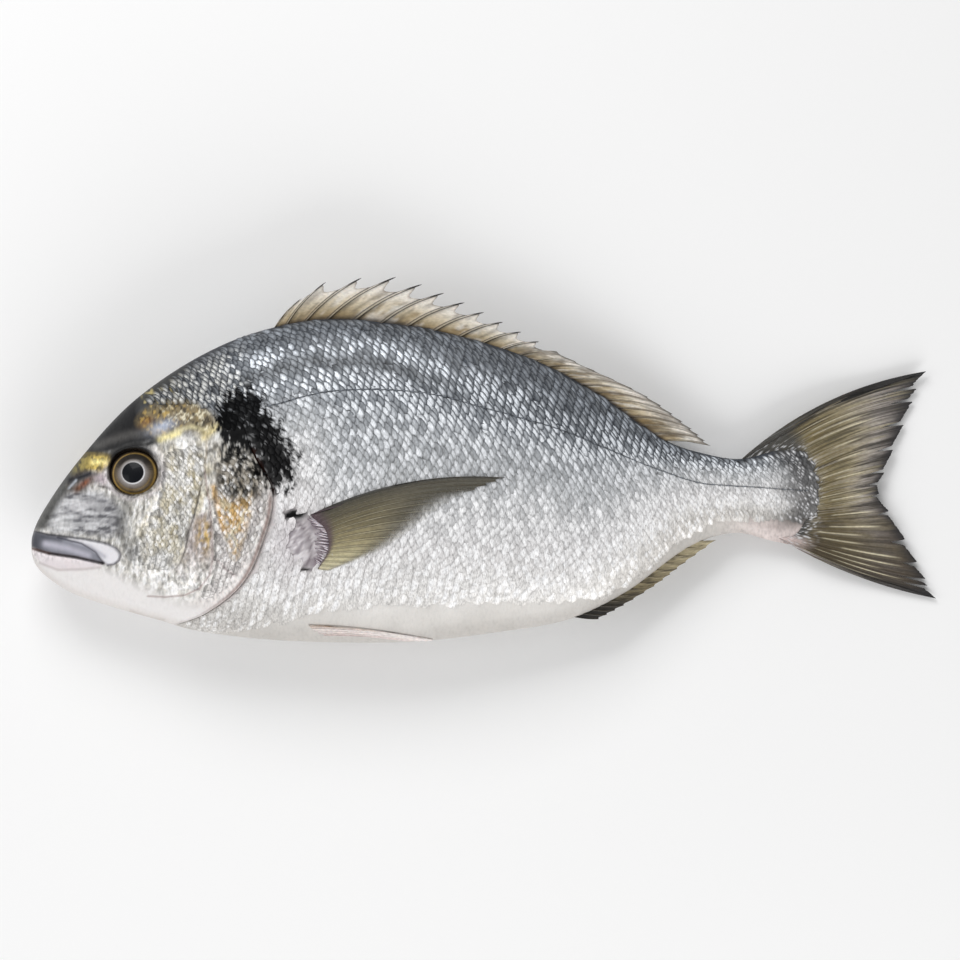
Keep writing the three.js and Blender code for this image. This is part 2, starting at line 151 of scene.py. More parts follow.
def through(knots, spread):
    """A smooth curve through knots, as a function of x."""
    places = spread(np.array([k[0] for k in knots], float))
    values = np.array([k[1] for k in knots], float)
    slopes = np.empty_like(values)
    slopes[1:-1] = (values[2:] - values[:-2]) / (places[2:] - places[:-2])
    slopes[0] = (values[1] - values[0]) / (places[1] - places[0])
    slopes[-1] = (values[-1] - values[-2]) / (places[-1] - places[-2])

    def curve(x):
        t = np.clip(spread(np.asarray(x, float)), places[0], places[-1])
        i = np.clip(np.searchsorted(places, t) - 1, 0, len(places) - 2)
        h = places[i + 1] - places[i]
        u = (t - places[i]) / h
        start = (1 + 2 * u) * (1 - u) ** 2 * values[i] + u * (1 - u) ** 2 * h * slopes[i]
        return start + u * u * (3 - 2 * u) * values[i + 1] + u * u * (u - 1) * h * slopes[i + 1]

    return curve


back = through(BACK, from_snout)
belly = through(BELLY, from_snout)
fullness = through(HALF_WIDTH, from_snout)
gill_edge = through(GILL_EDGE, evenly)
side_line = through(SIDE_LINE, evenly)
tail_root = through(TAIL_ROOT, evenly)


def spline(corners):
    """Points at even shares of a smooth line through a few corners."""
    points = np.array(corners, float)
    ends = np.concatenate([points[:1] * 2 - points[1:2], points, points[-1:] * 2 - points[-2:-1]])

    def at(s):
        u = np.clip(np.asarray(s, float), 0, 1) * (len(points) - 1)
        i = np.minimum(u.astype(int), len(points) - 2)
        f = (u - i)[..., None]
        p0, p1, p2, p3 = ends[i], ends[i + 1], ends[i + 2], ends[i + 3]
        v0, v1 = (p2 - p0) / 2, (p3 - p1) / 2
        return (2 * p1 - 2 * p2 + v0 + v1) * f ** 3 + (3 * p2 - 3 * p1 - 2 * v0 - v1) * f ** 2 + v0 * f + p1

    return at


def smooth(x, low, high):
    """0 at low, 1 at high and an easy slope between. Low may be the larger."""
    t = np.clip((x - low) / (high - low), 0, 1)
    return t * t * (3 - 2 * t)


def bump(x, centre, width):
    """1 at the centre, falling away over the width on both sides."""
    return np.exp(-(((x - centre) / width) ** 2))


def near(x, y, line):
    """How far each point is from a line through a few corners."""
    best = np.full(np.shape(x), np.inf)
    for (ax, ay), (bx, by) in zip(line, line[1:]):
        dx, dy = bx - ax, by - ay
        t = np.clip(((x - ax) * dx + (y - ay) * dy) / (dx * dx + dy * dy), 0, 1)
        best = np.minimum(best, np.hypot(x - ax - t * dx, y - ay - t * dy))
    return best


def stroke(x, y, line, width):
    """A soft line: 1 on it, and fading out at about its half width."""
    return bump(near(x, y, line), 0, width / 2)


def rounded(corners):
    """A closed outline with its bends eased by cutting the corners twice."""
    points = np.array(corners, float)
    for _ in range(2):
        following = np.roll(points, -1, 0)
        halves = [points * 0.75 + following * 0.25, points * 0.25 + following * 0.75]
        points = np.stack(halves, 1).reshape(-1, 2)
    return points.tolist()


def region(x, y, corners, soft):
    """A soft-edged area: 1 inside it and 0 outside."""
    outline = rounded(corners)
    closed = outline + outline[:1]
    inside = np.zeros(np.shape(x), bool)
    for (ax, ay), (bx, by) in zip(closed, closed[1:]):
        crosses = (ay > y) != (by > y)
        height = by - ay if by != ay else 1e-9
        inside ^= crosses & (x < (bx - ax) * (y - ay) / height + ax)
    distance = near(x, y, closed)
    return np.clip(0.5 + np.where(inside, distance, -distance) / soft, 0, 1)


def blob(x, y, at, radii, angle=0):
    """A soft oval spot."""
    c, s = math.cos(math.radians(angle)), math.sin(math.radians(angle))
    u = ((x - at[0]) * c + (y - at[1]) * s) / radii[0]
    v = ((y - at[1]) * c - (x - at[0]) * s) / radii[1]
    return np.exp(-u * u - v * v)


def noise(x, y, size, seed, octaves=3):
    """Smooth noise between about -1 and 1, with its coarsest lumps of this size."""
    table = np.random.default_rng(seed).uniform(-1, 1, (128, 128))
    total = np.zeros(np.broadcast(x, y).shape)
    for octave in range(octaves):
        u = (x + 300) / size * 2 ** octave + 7.3 * octave
        v = (y + 300) / size * 2 ** octave + 3.1 * octave
        i, j = np.floor(u).astype(int), np.floor(v).astype(int)
        fu, fv = u - i, v - j
        fu, fv = fu * fu * (3 - 2 * fu), fv * fv * (3 - 2 * fv)
        low = table[i % 128, j % 128] * (1 - fu) + table[(i + 1) % 128, j % 128] * fu
        high = table[i % 128, (j + 1) % 128] * (1 - fu) + table[(i + 1) % 128, (j + 1) % 128] * fu
        total += (low * (1 - fv) + high * fv) / 1.6 ** octave
    return total / 1.5


# Painting
def light(tone):
    """A tint as the amount of light that it gives back."""
    c = np.asarray(tone, float) / 255
    return np.where(c <= 0.04045, c / 12.92, ((c + 0.055) / 1.055) ** 2.4)


def ramp(share, steps):
    """Tints along a row of (place, tint) steps."""
    places = [s[0] for s in steps]
    tones = np.array([s[1] for s in steps], float)
    return light(np.stack([np.interp(share, places, tones[:, k]) for k in range(3)], -1))


class Paint:
    """Tints laid over each other at points of the side view."""

    def __init__(self, x, y, ground):
        self.x, self.y, self.tints = x, y, ground

    def over(self, tone, share):
        self.tints = self.tints + (light(tone) - self.tints) * np.clip(share, 0, 1)[..., None]

    def patch(self, corners, soft, tone, strength=1.0):
        self.over(tone, strength * region(self.x, self.y, corners, soft))

    def line(self, corners, width, tone, strength=1.0):
        self.over(tone, strength * stroke(self.x, self.y, corners, width))

    def spot(self, at, radii, angle, tone, strength=1.0):
        self.over(tone, strength * blob(self.x, self.y, at, radii, angle))


BLACK = (14, 14, 15)
WHITE = (250, 249, 248)
GOLD = (204, 178, 92)
PALE_GOLD = (248, 234, 160)


# The body's surface
def middle(x):
    return -TAIL_SAG * smooth(x, 125, 305) - HEAD_SAG * smooth(75 - x, 0, 75)


def thickness(x, y):
    centre = (back(x) + belly(x)) / 2
    half = np.maximum((back(x) - belly(x)) / 2, 0.01)
    eta = np.minimum(np.abs(y - centre) / half, 1)
    flat = np.where(y > centre, BACK_SECTION[0], BELLY_SECTION[0])
    rounding = np.where(y > centre, BACK_SECTION[1], BELLY_SECTION[1])
    flesh = FLESH_WIDTH / 2 * fullness(x) * (1 - eta ** flat) ** rounding
    ahead = tail_root(y) + 0.8 + 1.6 * noise(x * 0.4, y, 2.6, 46, 2) - x
    over_fin = 0.55 * smooth(x, 236, 246) * smooth(ahead, 0, 1.5) * smooth(eta, 1, 0.85)
    return np.maximum(flesh * smooth(ahead, -3, 14), over_fin)


def lean(station, y):
    """How far a ring of the body leans with the gill cover's edge at this height."""
    before = smooth(station, 0, GILL_STATION)
    behind = smooth(station, GILL_STATION + GILL_REACH, GILL_STATION + 0.5)
    return np.where(station < GILL_STATION, before, behind) * (gill_edge(y) - GILL_STATION)


def eye_reach(x, y):
    return np.hypot((x - EYE[0]) / EYE_RADII[0], (y - EYE[1]) / EYE_RADII[1])


def head_relief(x, y):
    """How far the head's plates, lips and rims stand out of the plain body."""
    ahead = gill_edge(y) - x
    low = smooth(y, GILL_TOP, GILL_TOP - GILL_FADE)
    cover = GILL_STEP * smooth(ahead, GILL_RISE, 0) * low
    rim = 0.3 * bump(ahead, 1.2, 0.9) * smooth(y, 14, 6)
    cheek = 0.7 * smooth(ahead, 16, 20) * region(x, y, [(36, -6), (57, 4)] + CHEEK_EDGE[1:], 2.5)
    plates = cover + rim + cheek - 0.4 * stroke(x, y, CHEEK_RIDGE, 1.4) - 0.25 * stroke(x, y, CHEEK_EDGE, 1.2)
    plates -= 0.2 * stroke(x, y, COVER_SEAM, 1.0)
    lips = 1.0 * region(x, y, UPPER_LIP_AREA, 1.6) - 0.5 * stroke(x, y, INNER_LIP, 1.0)
    lips += 0.7 * region(x, y, LOWER_LIP_AREA, 1.6) - 1.9 * stroke(x, y, MOUTH, 1.1)
    lips -= 0.5 * stroke(x, y, UPPER_LIP, 1.0) + 0.3 * stroke(x, y, LOWER_LIP, 1.2)
    reach = eye_reach(x, y)
    orbit = 0.7 * bump(reach, 1.12, 0.1) - 3.4 * smooth(reach, 1.04, 0.9)
    brow = 0.9 * blob(x, y, (36, 15), (9, 2.2), 12)
    nostril = 0.3 * stroke(x, y, NOSTRIL, 5) - 0.9 * stroke(x, y, NOSTRIL, 2)
    wrinkles = 0.1 * noise(x, y, 2.2, 5) * smooth(x, 2, 12) + 0.1 * noise(x * 2.2, y * 0.7, 3, 6)
    wrinkles *= smooth(y, -37, -28) * smooth(y, 30, 18)
    return plates + lips + orbit + brow + nostril + wrinkles


def trunk_relief(x, y):
    """How far the trunk's soft forms stand out of the plain body."""
    px, py, length, height, rise = SHOULDER
    paddle = rise * np.exp(-((x - px) / length) ** 2 - ((y - py) / height) ** 2)
    line = -0.15 * bump(y, side_line(x), 0.5) * smooth(x, 72, 80)
    under = smooth(gill_edge(y) - x, -0.8, 0.4)
    tuck = -0.9 * under * smooth(y, 20, 12) - 0.12 * under
    swell = -0.2 * (1 + noise(x, y, 26, 8, 2)) * smooth(x, 90, 120)
    axil = -1.2 * blob(x, y, (88, -8.2), (3.2, 1.2), 10)
    bare = 0.08 * noise(x, y, 2.4, 9, 2) * smooth(near(x, y, [(84, -12), (84, -24)]), 9, 4)
    groove = -0.5 * stroke(x, y, SHOULDER_GROOVE, 1.4)
    return paddle + line + tuck + swell + axil + bare + groove


def flank(x, y, side, relief=None):
    """Points on a flank. Side is 1 on the left and -1 on the right."""
    flesh = thickness(x, y)
    lift = 0 if relief is None else relief(x, y) * np.minimum(flesh / 3, 1)
    return np.stack([x, y, middle(x) + side * (flesh + lift)], -1)


def outward(x, y, side):
    d = 0.5
    slope_x = (thickness(x + d, y) - thickness(x - d, y)) / (2 * d)
    slope_y = (thickness(x, y + d) - thickness(x, y - d)) / (2 * d)
    normal = np.stack([-slope_x, -slope_y, np.full(np.shape(slope_x), float(side))], -1)
    return normal / np.linalg.norm(normal, axis=-1, keepdims=True)


def place(points):
    """The frame's metres, with nothing under the table."""
    flat = np.maximum(points[..., 2], TABLE_Z)
    return (np.concatenate([points[..., :2], flat[..., None]], -1) + ORIGIN) / 1000


# Meshes
def loft(rings):
    """Corners and faces of a closed skin over rings of points, with a cap at both ends."""
    count, around = rings.shape[:2]
    caps = rings[[0, -1]].mean(1)
    points = np.concatenate([rings.reshape(-1, 3), caps])
    i, j = np.meshgrid(np.arange(count - 1), np.arange(around), indexing="ij")
    a, b = i * around + j, i * around + (j + 1) % around
    quads = np.stack([a, b, b + around, a + around], -1).reshape(-1, 4)
    j = np.arange(around)
    k = (j + 1) % around
    last = (count - 1) * around
    first_cap = np.stack([k, j, np.full(around, count * around)], -1)
    last_cap = np.stack([last + j, last + k, np.full(around, count * around + 1)], -1)
    return points, quads.tolist() + first_cap.tolist() + last_cap.tolist()


def capped(values):
    """Values for a loft's corners, with one for each cap."""
    flat = values.reshape(-1, values.shape[-1])
    return np.concatenate([flat, values[[0, -1]].mean(1)])


def outside_first(points, faces):
    """The faces turned so that they look outwards."""
    volume = 0
    for face in faces:
        a, b, c = points[face[0]], points[face[1]], points[face[2]]
        volume += np.dot(a, np.cross(b, c))
        if len(face) == 4:
            volume += np.dot(a, np.cross(c, points[face[3]]))
    return faces if volume > 0 else [face[::-1] for face in faces]


def with_channel(tints, channel):
    """Tints with a fourth channel, which a material may use for metal or for see-through."""
    return np.concatenate([tints, np.broadcast_to(channel, tints.shape[:-1])[..., None]], -1)


def add_piece(name, points, faces, colours, finish, node="fish"):
    """One object of the scene that rides with the body and stands for a solid."""
    mesh = bpy.data.meshes.new(name)
    mesh.from_pydata(place(points).tolist(), [], faces)
    layer = mesh.color_attributes.new("tint", "FLOAT_COLOR", "POINT")
    layer.data.foreach_set("color", colours.astype(np.float32).ravel())
    mesh.polygons.foreach_set("use_smooth", np.ones(len(faces), bool))
    mesh.materials.append(finish)
    mesh.update()
    piece = bpy.data.objects.new(name, mesh)
    bpy.context.scene.collection.objects.link(piece)
    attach(piece, "root")
    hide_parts(node)


def sided(name, side):
    return name + ("_left" if side > 0 else "_right")


def ring_ends(stations, outline):
    """The heights at which leaning rings meet an outline, closed in on step by step."""
    x = stations.copy()
    for _ in range(40):
        x += 0.6 * (stations + lean(stations, outline(x)) - x)
    return outline(x)


def body_rings(stations, steps):
    """x, y and side for each point of the body's rings, up the left flank and down the right one."""
    top, bottom = ring_ends(stations, back), ring_ends(stations, belly)
    share = (1 - np.cos(np.pi * np.arange(steps + 1) / steps)) / 2
    share = np.concatenate([share[:-1], share[:0:-1]])
    side = np.concatenate([np.ones(steps), -np.ones(steps)])
    y = bottom[:, None] + (top - bottom)[:, None] * share
    x = stations[:, None] + lean(stations[:, None], y)
    return x, y, np.broadcast_to(side, x.shape)


# Materials
def fill(tree, node, inputs):
    """Sets a node's inputs. One that is given another node's output is linked to it."""
    for key, value in inputs.items():
        if isinstance(value, bpy.types.NodeSocket):
            tree.links.new(value, node.inputs[key])
        else:
            node.inputs[key].default_value = value


def material(name, roughness, coat, grain, contrast, relief, channel=None, gloss=0.3, glow=0.0, metal=0.0):
    """A wet, procedural finish over the painted tints. Grain is the size of its flecks along each axis."""
    made = bpy.data.materials.new(name)
    made.use_nodes = True
    tree = made.node_tree

    def node(kind, inputs):
        added = tree.nodes.new("ShaderNode" + kind)
        fill(tree, added, inputs)
        return added

    paint = node("VertexColor", {})
    paint.layer_name = "tint"
    where = node("TexCoord", {})
    stretch = node("Mapping", {"Vector": where.outputs["Object"], "Scale": [1 / size for size in grain]})
    flecks = node("TexNoise", {"Vector": stretch.outputs["Vector"], "Scale": 1, "Detail": 3})
    height = flecks.outputs["Fac"]
    shade = node("MapRange", {"Value": height, "From Min": 0.32, "From Max": 0.68,
                              "To Min": 1 - contrast, "To Max": 1 + contrast})
    tone = shade.outputs["Result"]
    if channel == "Flecks":
        weaken = node("Math", {0: tone, 1: paint.outputs["Alpha"]})
        weaken.operation = "POWER"
        tone = weaken.outputs["Value"]
    blend = node("VectorMath", {0: paint.outputs["Color"]})
    blend.operation = "SCALE"
    fill(tree, blend, {"Scale": tone})
    wet = node("MapRange", {"Value": height, "To Min": roughness - 0.12, "To Max": roughness + 0.18})
    dents = node("Bump", {"Height": height, "Distance": relief, "Strength": 0.7})
    shader = tree.nodes["Principled BSDF"]
    fill(tree, shader, {
        "Base Color": blend.outputs["Vector"], "Roughness": wet.outputs["Result"],
        "Normal": dents.outputs["Normal"], "Metallic": metal, "Specular IOR Level": gloss,
        "Coat Weight": coat, "Coat Roughness": 0.08, "Subsurface Weight": glow,
        "Subsurface Radius": (0.003, 0.002, 0.0015)})
    if channel == "Flecks":
        shine = node("MapRange", {"Value": paint.outputs["Alpha"], "To Min": 0.05, "To Max": 2 * gloss})
        fill(tree, shader, {"Specular IOR Level": shine.outputs["Result"]})
    elif channel:
        fill(tree, shader, {channel: paint.outputs["Alpha"]})
    return made


# Tints of the head and trunk
def height_share(x, y):
    """0 at the belly and 1 at the back, with the dark back reaching lower near the tail."""
    share = (y - belly(x)) / np.maximum(back(x) - belly(x), 1)
    share = share + 0.05 * smooth(x, 120, 180) * smooth(share, 0.6, 0.85) * smooth(x, 230, 205)
    share = share - 0.24 * smooth(x, 180, 225) * smooth(share, 1, 0.75)
    share = share - 0.2 * smooth(x, 106, 88) * smooth(share, 0.85, 0.6) * smooth(share, 0.15, 0.45)
    return share + 0.02 * noise(x, y, 18, 3)


def body_tint(x, y):
    # The lowest band, darker at the belly's edge, is painted shade where the belly turns under.
    steps = [(0, (196, 192, 187)), (0.08, (212, 209, 205)), (0.16, (238, 236, 234)), (0.28, (230, 228, 228)),
             (0.4, (216, 216, 217)), (0.55, (188, 190, 192)), (0.66, (164, 167, 171)),
             (0.76, (112, 117, 124)), (0.86, (60, 66, 74)), (0.95, (68, 73, 81)), (1, (66, 70, 77))]
    return ramp(height_share(x, y), steps)


def blotch_share(x, y):
    """The black mark at the top of the gill opening, which frays into upright strokes."""
    fibres = noise(x * 1.8, y * 0.8, 1.3, 31, 2) + 0.4 * noise(x, y, 6, 32, 2)
    inside = region(x, y, BLOTCH, 11)
    specks = 0.35 * smooth(noise(x * 1.6, y * 0.9, 1.2, 33, 2), 0.45, 0.75)
    return smooth(inside + 0.45 * fibres, 0.28, 0.5) * smooth(inside, 0.02, 0.25) * (1 - specks)


def paint_cheek(p):
    """The dark nape's ground, and the silver cheek with its upright flecks and painted glints on its lower
    part.
    """
    x, y = p.x, p.y
    upright = noise(x * 1.9, y * 0.7, 2.2, 11)
    p.over((54, 56, 62), 0.9 * region(x, y, NAPE, 6) * smooth(x, 84, 66))
    p.over((217, 214, 208), p.face)
    p.over((118, 115, 108), 0.74 * p.face * smooth(upright + 0.5 * p.speck, 0.05, 0.55))
    p.over(WHITE, 0.9 * p.face * smooth(0.5 * p.speck - upright, 0.05, 0.45))
    cheek = region(x, y, [(40, 12), (58, 15), (61, 2), (54, -22), (40, -25), (35, -10)], 9)
    p.over((196, 180, 132), 0.55 * cheek * smooth(noise(x * 1.2, y * 0.8, 3.4, 13), -0.2, 0.4))
    p.over((250, 246, 232), 0.5 * cheek * smooth(p.fine, 0.1, 0.5))
    # Painted glints: white sparkle on the scales of the lower cheek.
    painted_glints = region(x, y, [(30, -19), (42, -20), (50, -27), (60, -28), (66, -30), (54, -37), (36, -32)], 6)
    p.over(WHITE, 0.75 * painted_glints * smooth(p.speck, -0.2, 0.4))


def paint_snout(p):
    """The silver snout in front of the eye, with dark strokes along it."""
    x, y = p.x, p.y
    level = noise(x * 0.6, y * 1.9, 2.4, 14)
    snout = region(x, y, SNOUT, 3)
    p.over((154, 154, 158), 0.9 * snout)
    p.over((84, 84, 89), 0.85 * snout * smooth(level + 0.2 * p.speck, 0, 0.5))
    p.over((226, 226, 228), 0.65 * snout * smooth(-level, 0.0, 0.5))
    p.spot((9.8, -11.2), (3.6, 2.4), 0, (236, 236, 236), 0.6)
    p.spot((17, -5), (5.5, 1.5), 12, (222, 221, 224), 0.6)
    p.line([(32, -2.6), (31, -9), (31, -16), (34, -21)], 6, (92, 92, 90), 0.6)
    p.line([(29, -15), (29.6, -11), (31, -6)], 2, (70, 70, 70), 0.4)


def paint_forehead(p):
    """The dark profile, the forehead with a painted sheen, and the black over the eye, painted as shade under
    the brow.
    """
    x, y = p.x, p.y
    p.over((60, 60, 58), 0.95 * smooth(near(x, y, PROFILE), 5, 1.8) * smooth(y, -15, -12) * smooth(x, 60, 40))
    p.patch(FOREHEAD, 2.4, (27, 27, 29))
    # A painted sheen across the dark forehead.
    p.line([(21.9, 14.6), (28, 17), (33, 18.4), (38, 18.8)], 3.0, (104, 102, 100), 0.5)
    p.line([(10, 4), (19, 15), (31, 27)], 2.0, (70, 72, 72), 0.4)
    # Painted shade under the brow: black over the eye.
    p.line([(25.8, 10.8), (30.4, 13.6), (34.4, 15), (38.4, 15), (42, 16.6)], 2.8, BLACK)
    p.patch([(38, 14), (43, 14), (46, 9), (44.5, 3), (41, 0), (42, 8)], 2, (206, 202, 202), 0.7)


def paint_temple(p):
    """The flecked arc behind the forehead, with its gold edge and dots."""
    x, y = p.x, p.y
    arc = region(x, y, [(34.6, 22), (37.3, 26.4), (43.5, 29), (50.7, 29.6), (57.6, 27.6), (63, 22),
                        (57, 17.4), (52, 20.5), (43.5, 17), (37.6, 20.6)], 3)
    p.over((128, 114, 84), 0.95 * arc)
    p.over((46, 38, 28), 0.85 * arc * smooth(p.fine + 0.4 * p.speck, 0.1, 0.4))
    p.over((200, 168, 92), 0.7 * arc * smooth(noise(x, y, 1.1, 17, 2), 0.1, 0.5) * smooth(x, 60, 44))
    p.over((236, 228, 200), 0.8 * arc * smooth(noise(x, y, 1.0, 16, 2), 0.15, 0.5) * smooth(x, 38, 50))
    p.spot((43.8, 21), (4.4, 1.9), 20, (190, 200, 222), 0.75)
    p.spot((38.4, 22.6), (2.4, 1.3), 30, (132, 82, 42), 0.5)
    p.line([(43.2, 16.7), (46, 17.6), (49, 18.8)], 2.2, PALE_GOLD, p.broken)
    p.line([(48, 19.2), (53, 21), (57, 20)], 1.6, (224, 214, 170), 0.7 * p.broken)
    p.line([(57.4, 17.4), (60.4, 19.8), (63.0, 21.6)], 2.6, (236, 218, 150), 0.9 * p.broken)
    dots = region(x, y, [(35, 25), (46, 29), (50, 38), (40, 38)], 3) * smooth(y, 35, 32)
    dots = dots * smooth(noise(x, y, 1.1, 18, 1), 0.35, 0.6)
    p.over((226, 208, 140), 0.6 * dots)


def paint_gold_band(p):
    """The gold band between the eyes."""
    x, y = p.x, p.y
    p.patch([(14.4, 6.4), (17.3, 11.6), (19.6, 12), (26.4, 11.6), (27.2, 9), (23.9, 6), (20, 6.4)], 1.6, GOLD)
    p.patch([(14.4, 6.4), (17.3, 11.6), (26.4, 11.6), (27.2, 9), (23.9, 6)], 1.6, (74, 64, 34),
            0.9 * smooth(p.fine, -0.1, 0.25))
    p.line([(20.5, 9.2), (24.8, 9.2)], 2.0, PALE_GOLD, p.broken)
    olive = region(x, y, [(12.6, 4.6), (15.4, 11), (20, 12.4), (19.6, 9.4), (18.4, 6)], 2)
    p.over((122, 112, 62), 0.8 * olive)
    p.over((56, 50, 32), 0.85 * olive * smooth(p.fine + 0.3 * p.speck, -0.1, 0.3))
    p.over((86, 74, 40), 0.7 * stroke(x, y, [(17, 11.8), (22, 12), (27, 11.4)], 1.4))


def paint_nostril(p):
    """The nostrils and the dark skin round them, with painted shade in the slits and a painted highlight at
    their front.
    """
    p.patch([(11, 0), (15.3, 7), (22, 6.2), (24.5, 3.4), (20, 1.4), (16.5, -1.2)], 2.0, (70, 60, 52), 0.85)
    p.spot((18.0, 2.4), (2.6, 1.0), 38, (128, 68, 34), 0.9)
    p.spot((15.6, 0.4), (1.4, 0.9), 38, (104, 66, 42), 0.8)
    # Painted shade in the nostril slits.
    p.line(NOSTRIL, 2.4, (20, 21, 30))
    # A painted highlight streak at the front of the nostrils.
    p.line([(12.6, 0.6), (15.0, 3.2)], 0.8, (190, 196, 204), 0.7)
    p.spot((23.9, 3.6), (2.4, 2.0), 0, (186, 172, 180), 0.9)
    p.line([(22.6, 1.3), (26, 0.6), (29, -0.8), (33, -1.6)], 1.0, (44, 40, 38), 0.85)


def paint_gill_cover(p):
    """The plates of the gill cover, with amber flecks and the edge of the black mark."""
    x, y = p.x, p.y
    strip = region(x, y, CHEEK_RIDGE[1:] + CHEEK_EDGE[5:0:-1], 2)
    p.over((150, 136, 134), 0.8 * strip * smooth(y, -30, -18))
    p.over((230, 224, 222), 0.7 * strip * smooth(p.fine, 0.05, 0.5))
    p.over((204, 170, 84), 0.8 * strip * smooth(p.fine, 0.2, -0.2) * blob(x, y, (58, -15), (3, 5)))
    p.patch([(61, 10), (60.5, -24), (68, -28), (76, -14), (79, -2), (73, 12)], 4, (212, 205, 205), 0.6)
    low = region(x, y, [(60, -24), (66, -22), (76, -18), (70, -34), (56, -44), (48, -40), (58, -34)], 5)
    p.over((234, 228, 226), 0.8 * low)
    p.over((120, 108, 98), 0.6 * smooth(x, 60, 63) * smooth(p.fine, 0.1, 0.5) * smooth(y, -26, -14) * p.face)
    amber = region(x, y, [(60.4, 1), (63, -7), (66, -19), (68, -24), (70.5, -14), (74, -4), (72.5, 0),
                          (67, -4)], 3)
    p.over((222, 172, 74), 0.8 * amber * smooth(noise(x * 1.2, y * 0.8, 1.5, 19), -0.35, 0.2))
    p.over((250, 238, 206), 0.75 * amber * smooth(p.fine, 0.05, 0.4))
    p.over((150, 120, 70), 0.5 * amber * smooth(p.fine, -0.2, -0.5))
    p.line([(60.6, 1), (62.2, -6), (64, -13)], 1.8, (236, 178, 66), 0.85 * p.broken)
    mask = region(x, y, [(60.5, 16), (66, 14), (75, 13), (78.5, 2), (73, -4), (64, -3), (61, 2)], 5)
    p.over((136, 126, 100), 0.6 * mask)
    strokes = noise(x * 1.7, y * 0.9, 1.5, 20, 2) + 0.3 * p.speck
    p.over((30, 28, 24), 0.95 * mask * smooth(strokes, -0.2, 0.08))
    p.over(BLACK, blotch_share(x, y))


def paint_jaw(p):
    """The white jaw, with painted shade towards its lower edge, and the lower lip."""
    x, y = p.x, p.y
    jaw = region(x, y, [(-4, -22), (6, -23.6), (26, -25.6), (34, -31), (50, -38), (62, -41), (62, -52),
                        (10, -52)], 4)
    p.over((238, 235, 234), jaw)
    # Painted shade: darker towards the jaw's lower edge, and a thin shadow line along its outline.
    p.over((216, 210, 206), 0.8 * jaw * smooth(y - belly(x), 3.5, 0))
    p.over((176, 166, 160), 0.4 * stroke(x, y, [(33, -40), (38, -42), (44, -43)], 1.2))
    p.patch(LOWER_LIP_AREA, 1.4, (232, 224, 226))
    p.line(LOWER_LIP, 1.0, (192, 180, 180), 0.6)


def paint_upper_lip(p):
    """The grey upper lip with a painted highlight, the bone behind it, and the mouth's slit, painted dark as
    shade between the lips.
    """
    x, y = p.x, p.y
    lip = region(x, y, UPPER_LIP_AREA, 1.0)
    p.over((134, 135, 144), lip)
    p.over((66, 67, 74), 0.9 * lip * smooth(x, 8, 1))
    # A painted highlight along the upper lip.
    p.line([(5, -17.8), (12, -19.2), (19, -21.6)], 2.4, (186, 184, 196), 0.9)
    p.line([(3, -15.4), (10, -16.4)], 1.6, (84, 86, 94), 0.8)
    p.patch(MAXILLA, 1.0, (234, 232, 236))
    p.line([(15, -17.4), (20, -19), (24.4, -22)], 1.6, (166, 166, 178), 0.7)
    p.line(UPPER_LIP[:4], 0.8, (42, 42, 50), 0.9)
    p.line(UPPER_LIP[3:], 0.7, (90, 86, 92), 0.85)
    p.line(INNER_LIP, 0.6, (64, 64, 74), 0.9)
    # The mouth's slit: painted shade between the lips, orange-brown at its front.
    p.line(MOUTH[1:], 0.9, (74, 64, 68), 0.9)
    p.line(MOUTH[:2], 0.8, (104, 76, 66), 0.8)


def paint_seams(p):
    """The thin lines where the head's plates meet."""
    x, y = p.x, p.y
    p.over((60, 58, 54), 0.6 * blob(x, y, (33, -20.5), (3, 1.6), -30) * smooth(p.fine, -0.1, 0.3))
    p.line(CHEEK_RIDGE, 0.6, (66, 60, 56), 0.85 * smooth(y, -30, -20))
    p.line(CHEEK_EDGE, 0.6, (160, 138, 136), 0.75)
    p.line([(57.6, 6.6), (58.2, 12), (58.4, 18)], 0.8, (150, 136, 112), 0.6)
    p.line(COVER_SEAM, 0.8, (176, 156, 156), 0.7)


def paint_eye_socket(p):
    """The dark rim round the eye, with painted shade of the brow over its top."""
    x, y = p.x, p.y
    reach = eye_reach(x - 0.2, y)
    p.over((200, 192, 194), 0.6 * bump(reach, 1.2, 0.1) * smooth(y, 12, 4))
    p.over((62, 54, 50), 0.7 * bump(reach, 1.07, 0.05))
    # Painted shade of the brow over the top of the eye.
    p.over(BLACK, smooth(reach, 1.34, 1.1) * smooth(y, 8, 12) * smooth(x, 44, 39))
    p.over((66, 56, 48), smooth(eye_reach(x, y), 1.05, 0.98))


def paint_gill_edge(p):
    """The reddish edge of the gill cover."""
    x, y = p.x, p.y
    ahead = gill_edge(y) - x
    margin = bump(ahead, 0.7, 0.8) * smooth(y, 2, -4)
    p.over((140, 118, 112), 0.9 * margin * smooth(y, -44, -34))
    p.over((184, 176, 174), 0.5 * margin * smooth(y, -30, -40))


def head_tint(x, y):
    """The bare head, from its dark forehead to its white throat. Its areas share the noises set here."""
    p = Paint(x, y, body_tint(x, y))
    p.speck = noise(x, y, 1.3, 12, 2)
    p.fine = noise(x * 1.5, y * 0.9, 1.5, 15, 2)
    p.broken = 0.75 + 0.25 * noise(x, y, 1.2, 24, 2)
    p.face = region(x, y, FACE, 7)
    for area in (paint_cheek, paint_snout, paint_forehead, paint_temple, paint_gold_band,
                 paint_nostril, paint_gill_cover, paint_jaw, paint_upper_lip,
                 paint_seams, paint_eye_socket, paint_gill_edge):
        area(p)
    return p.tints


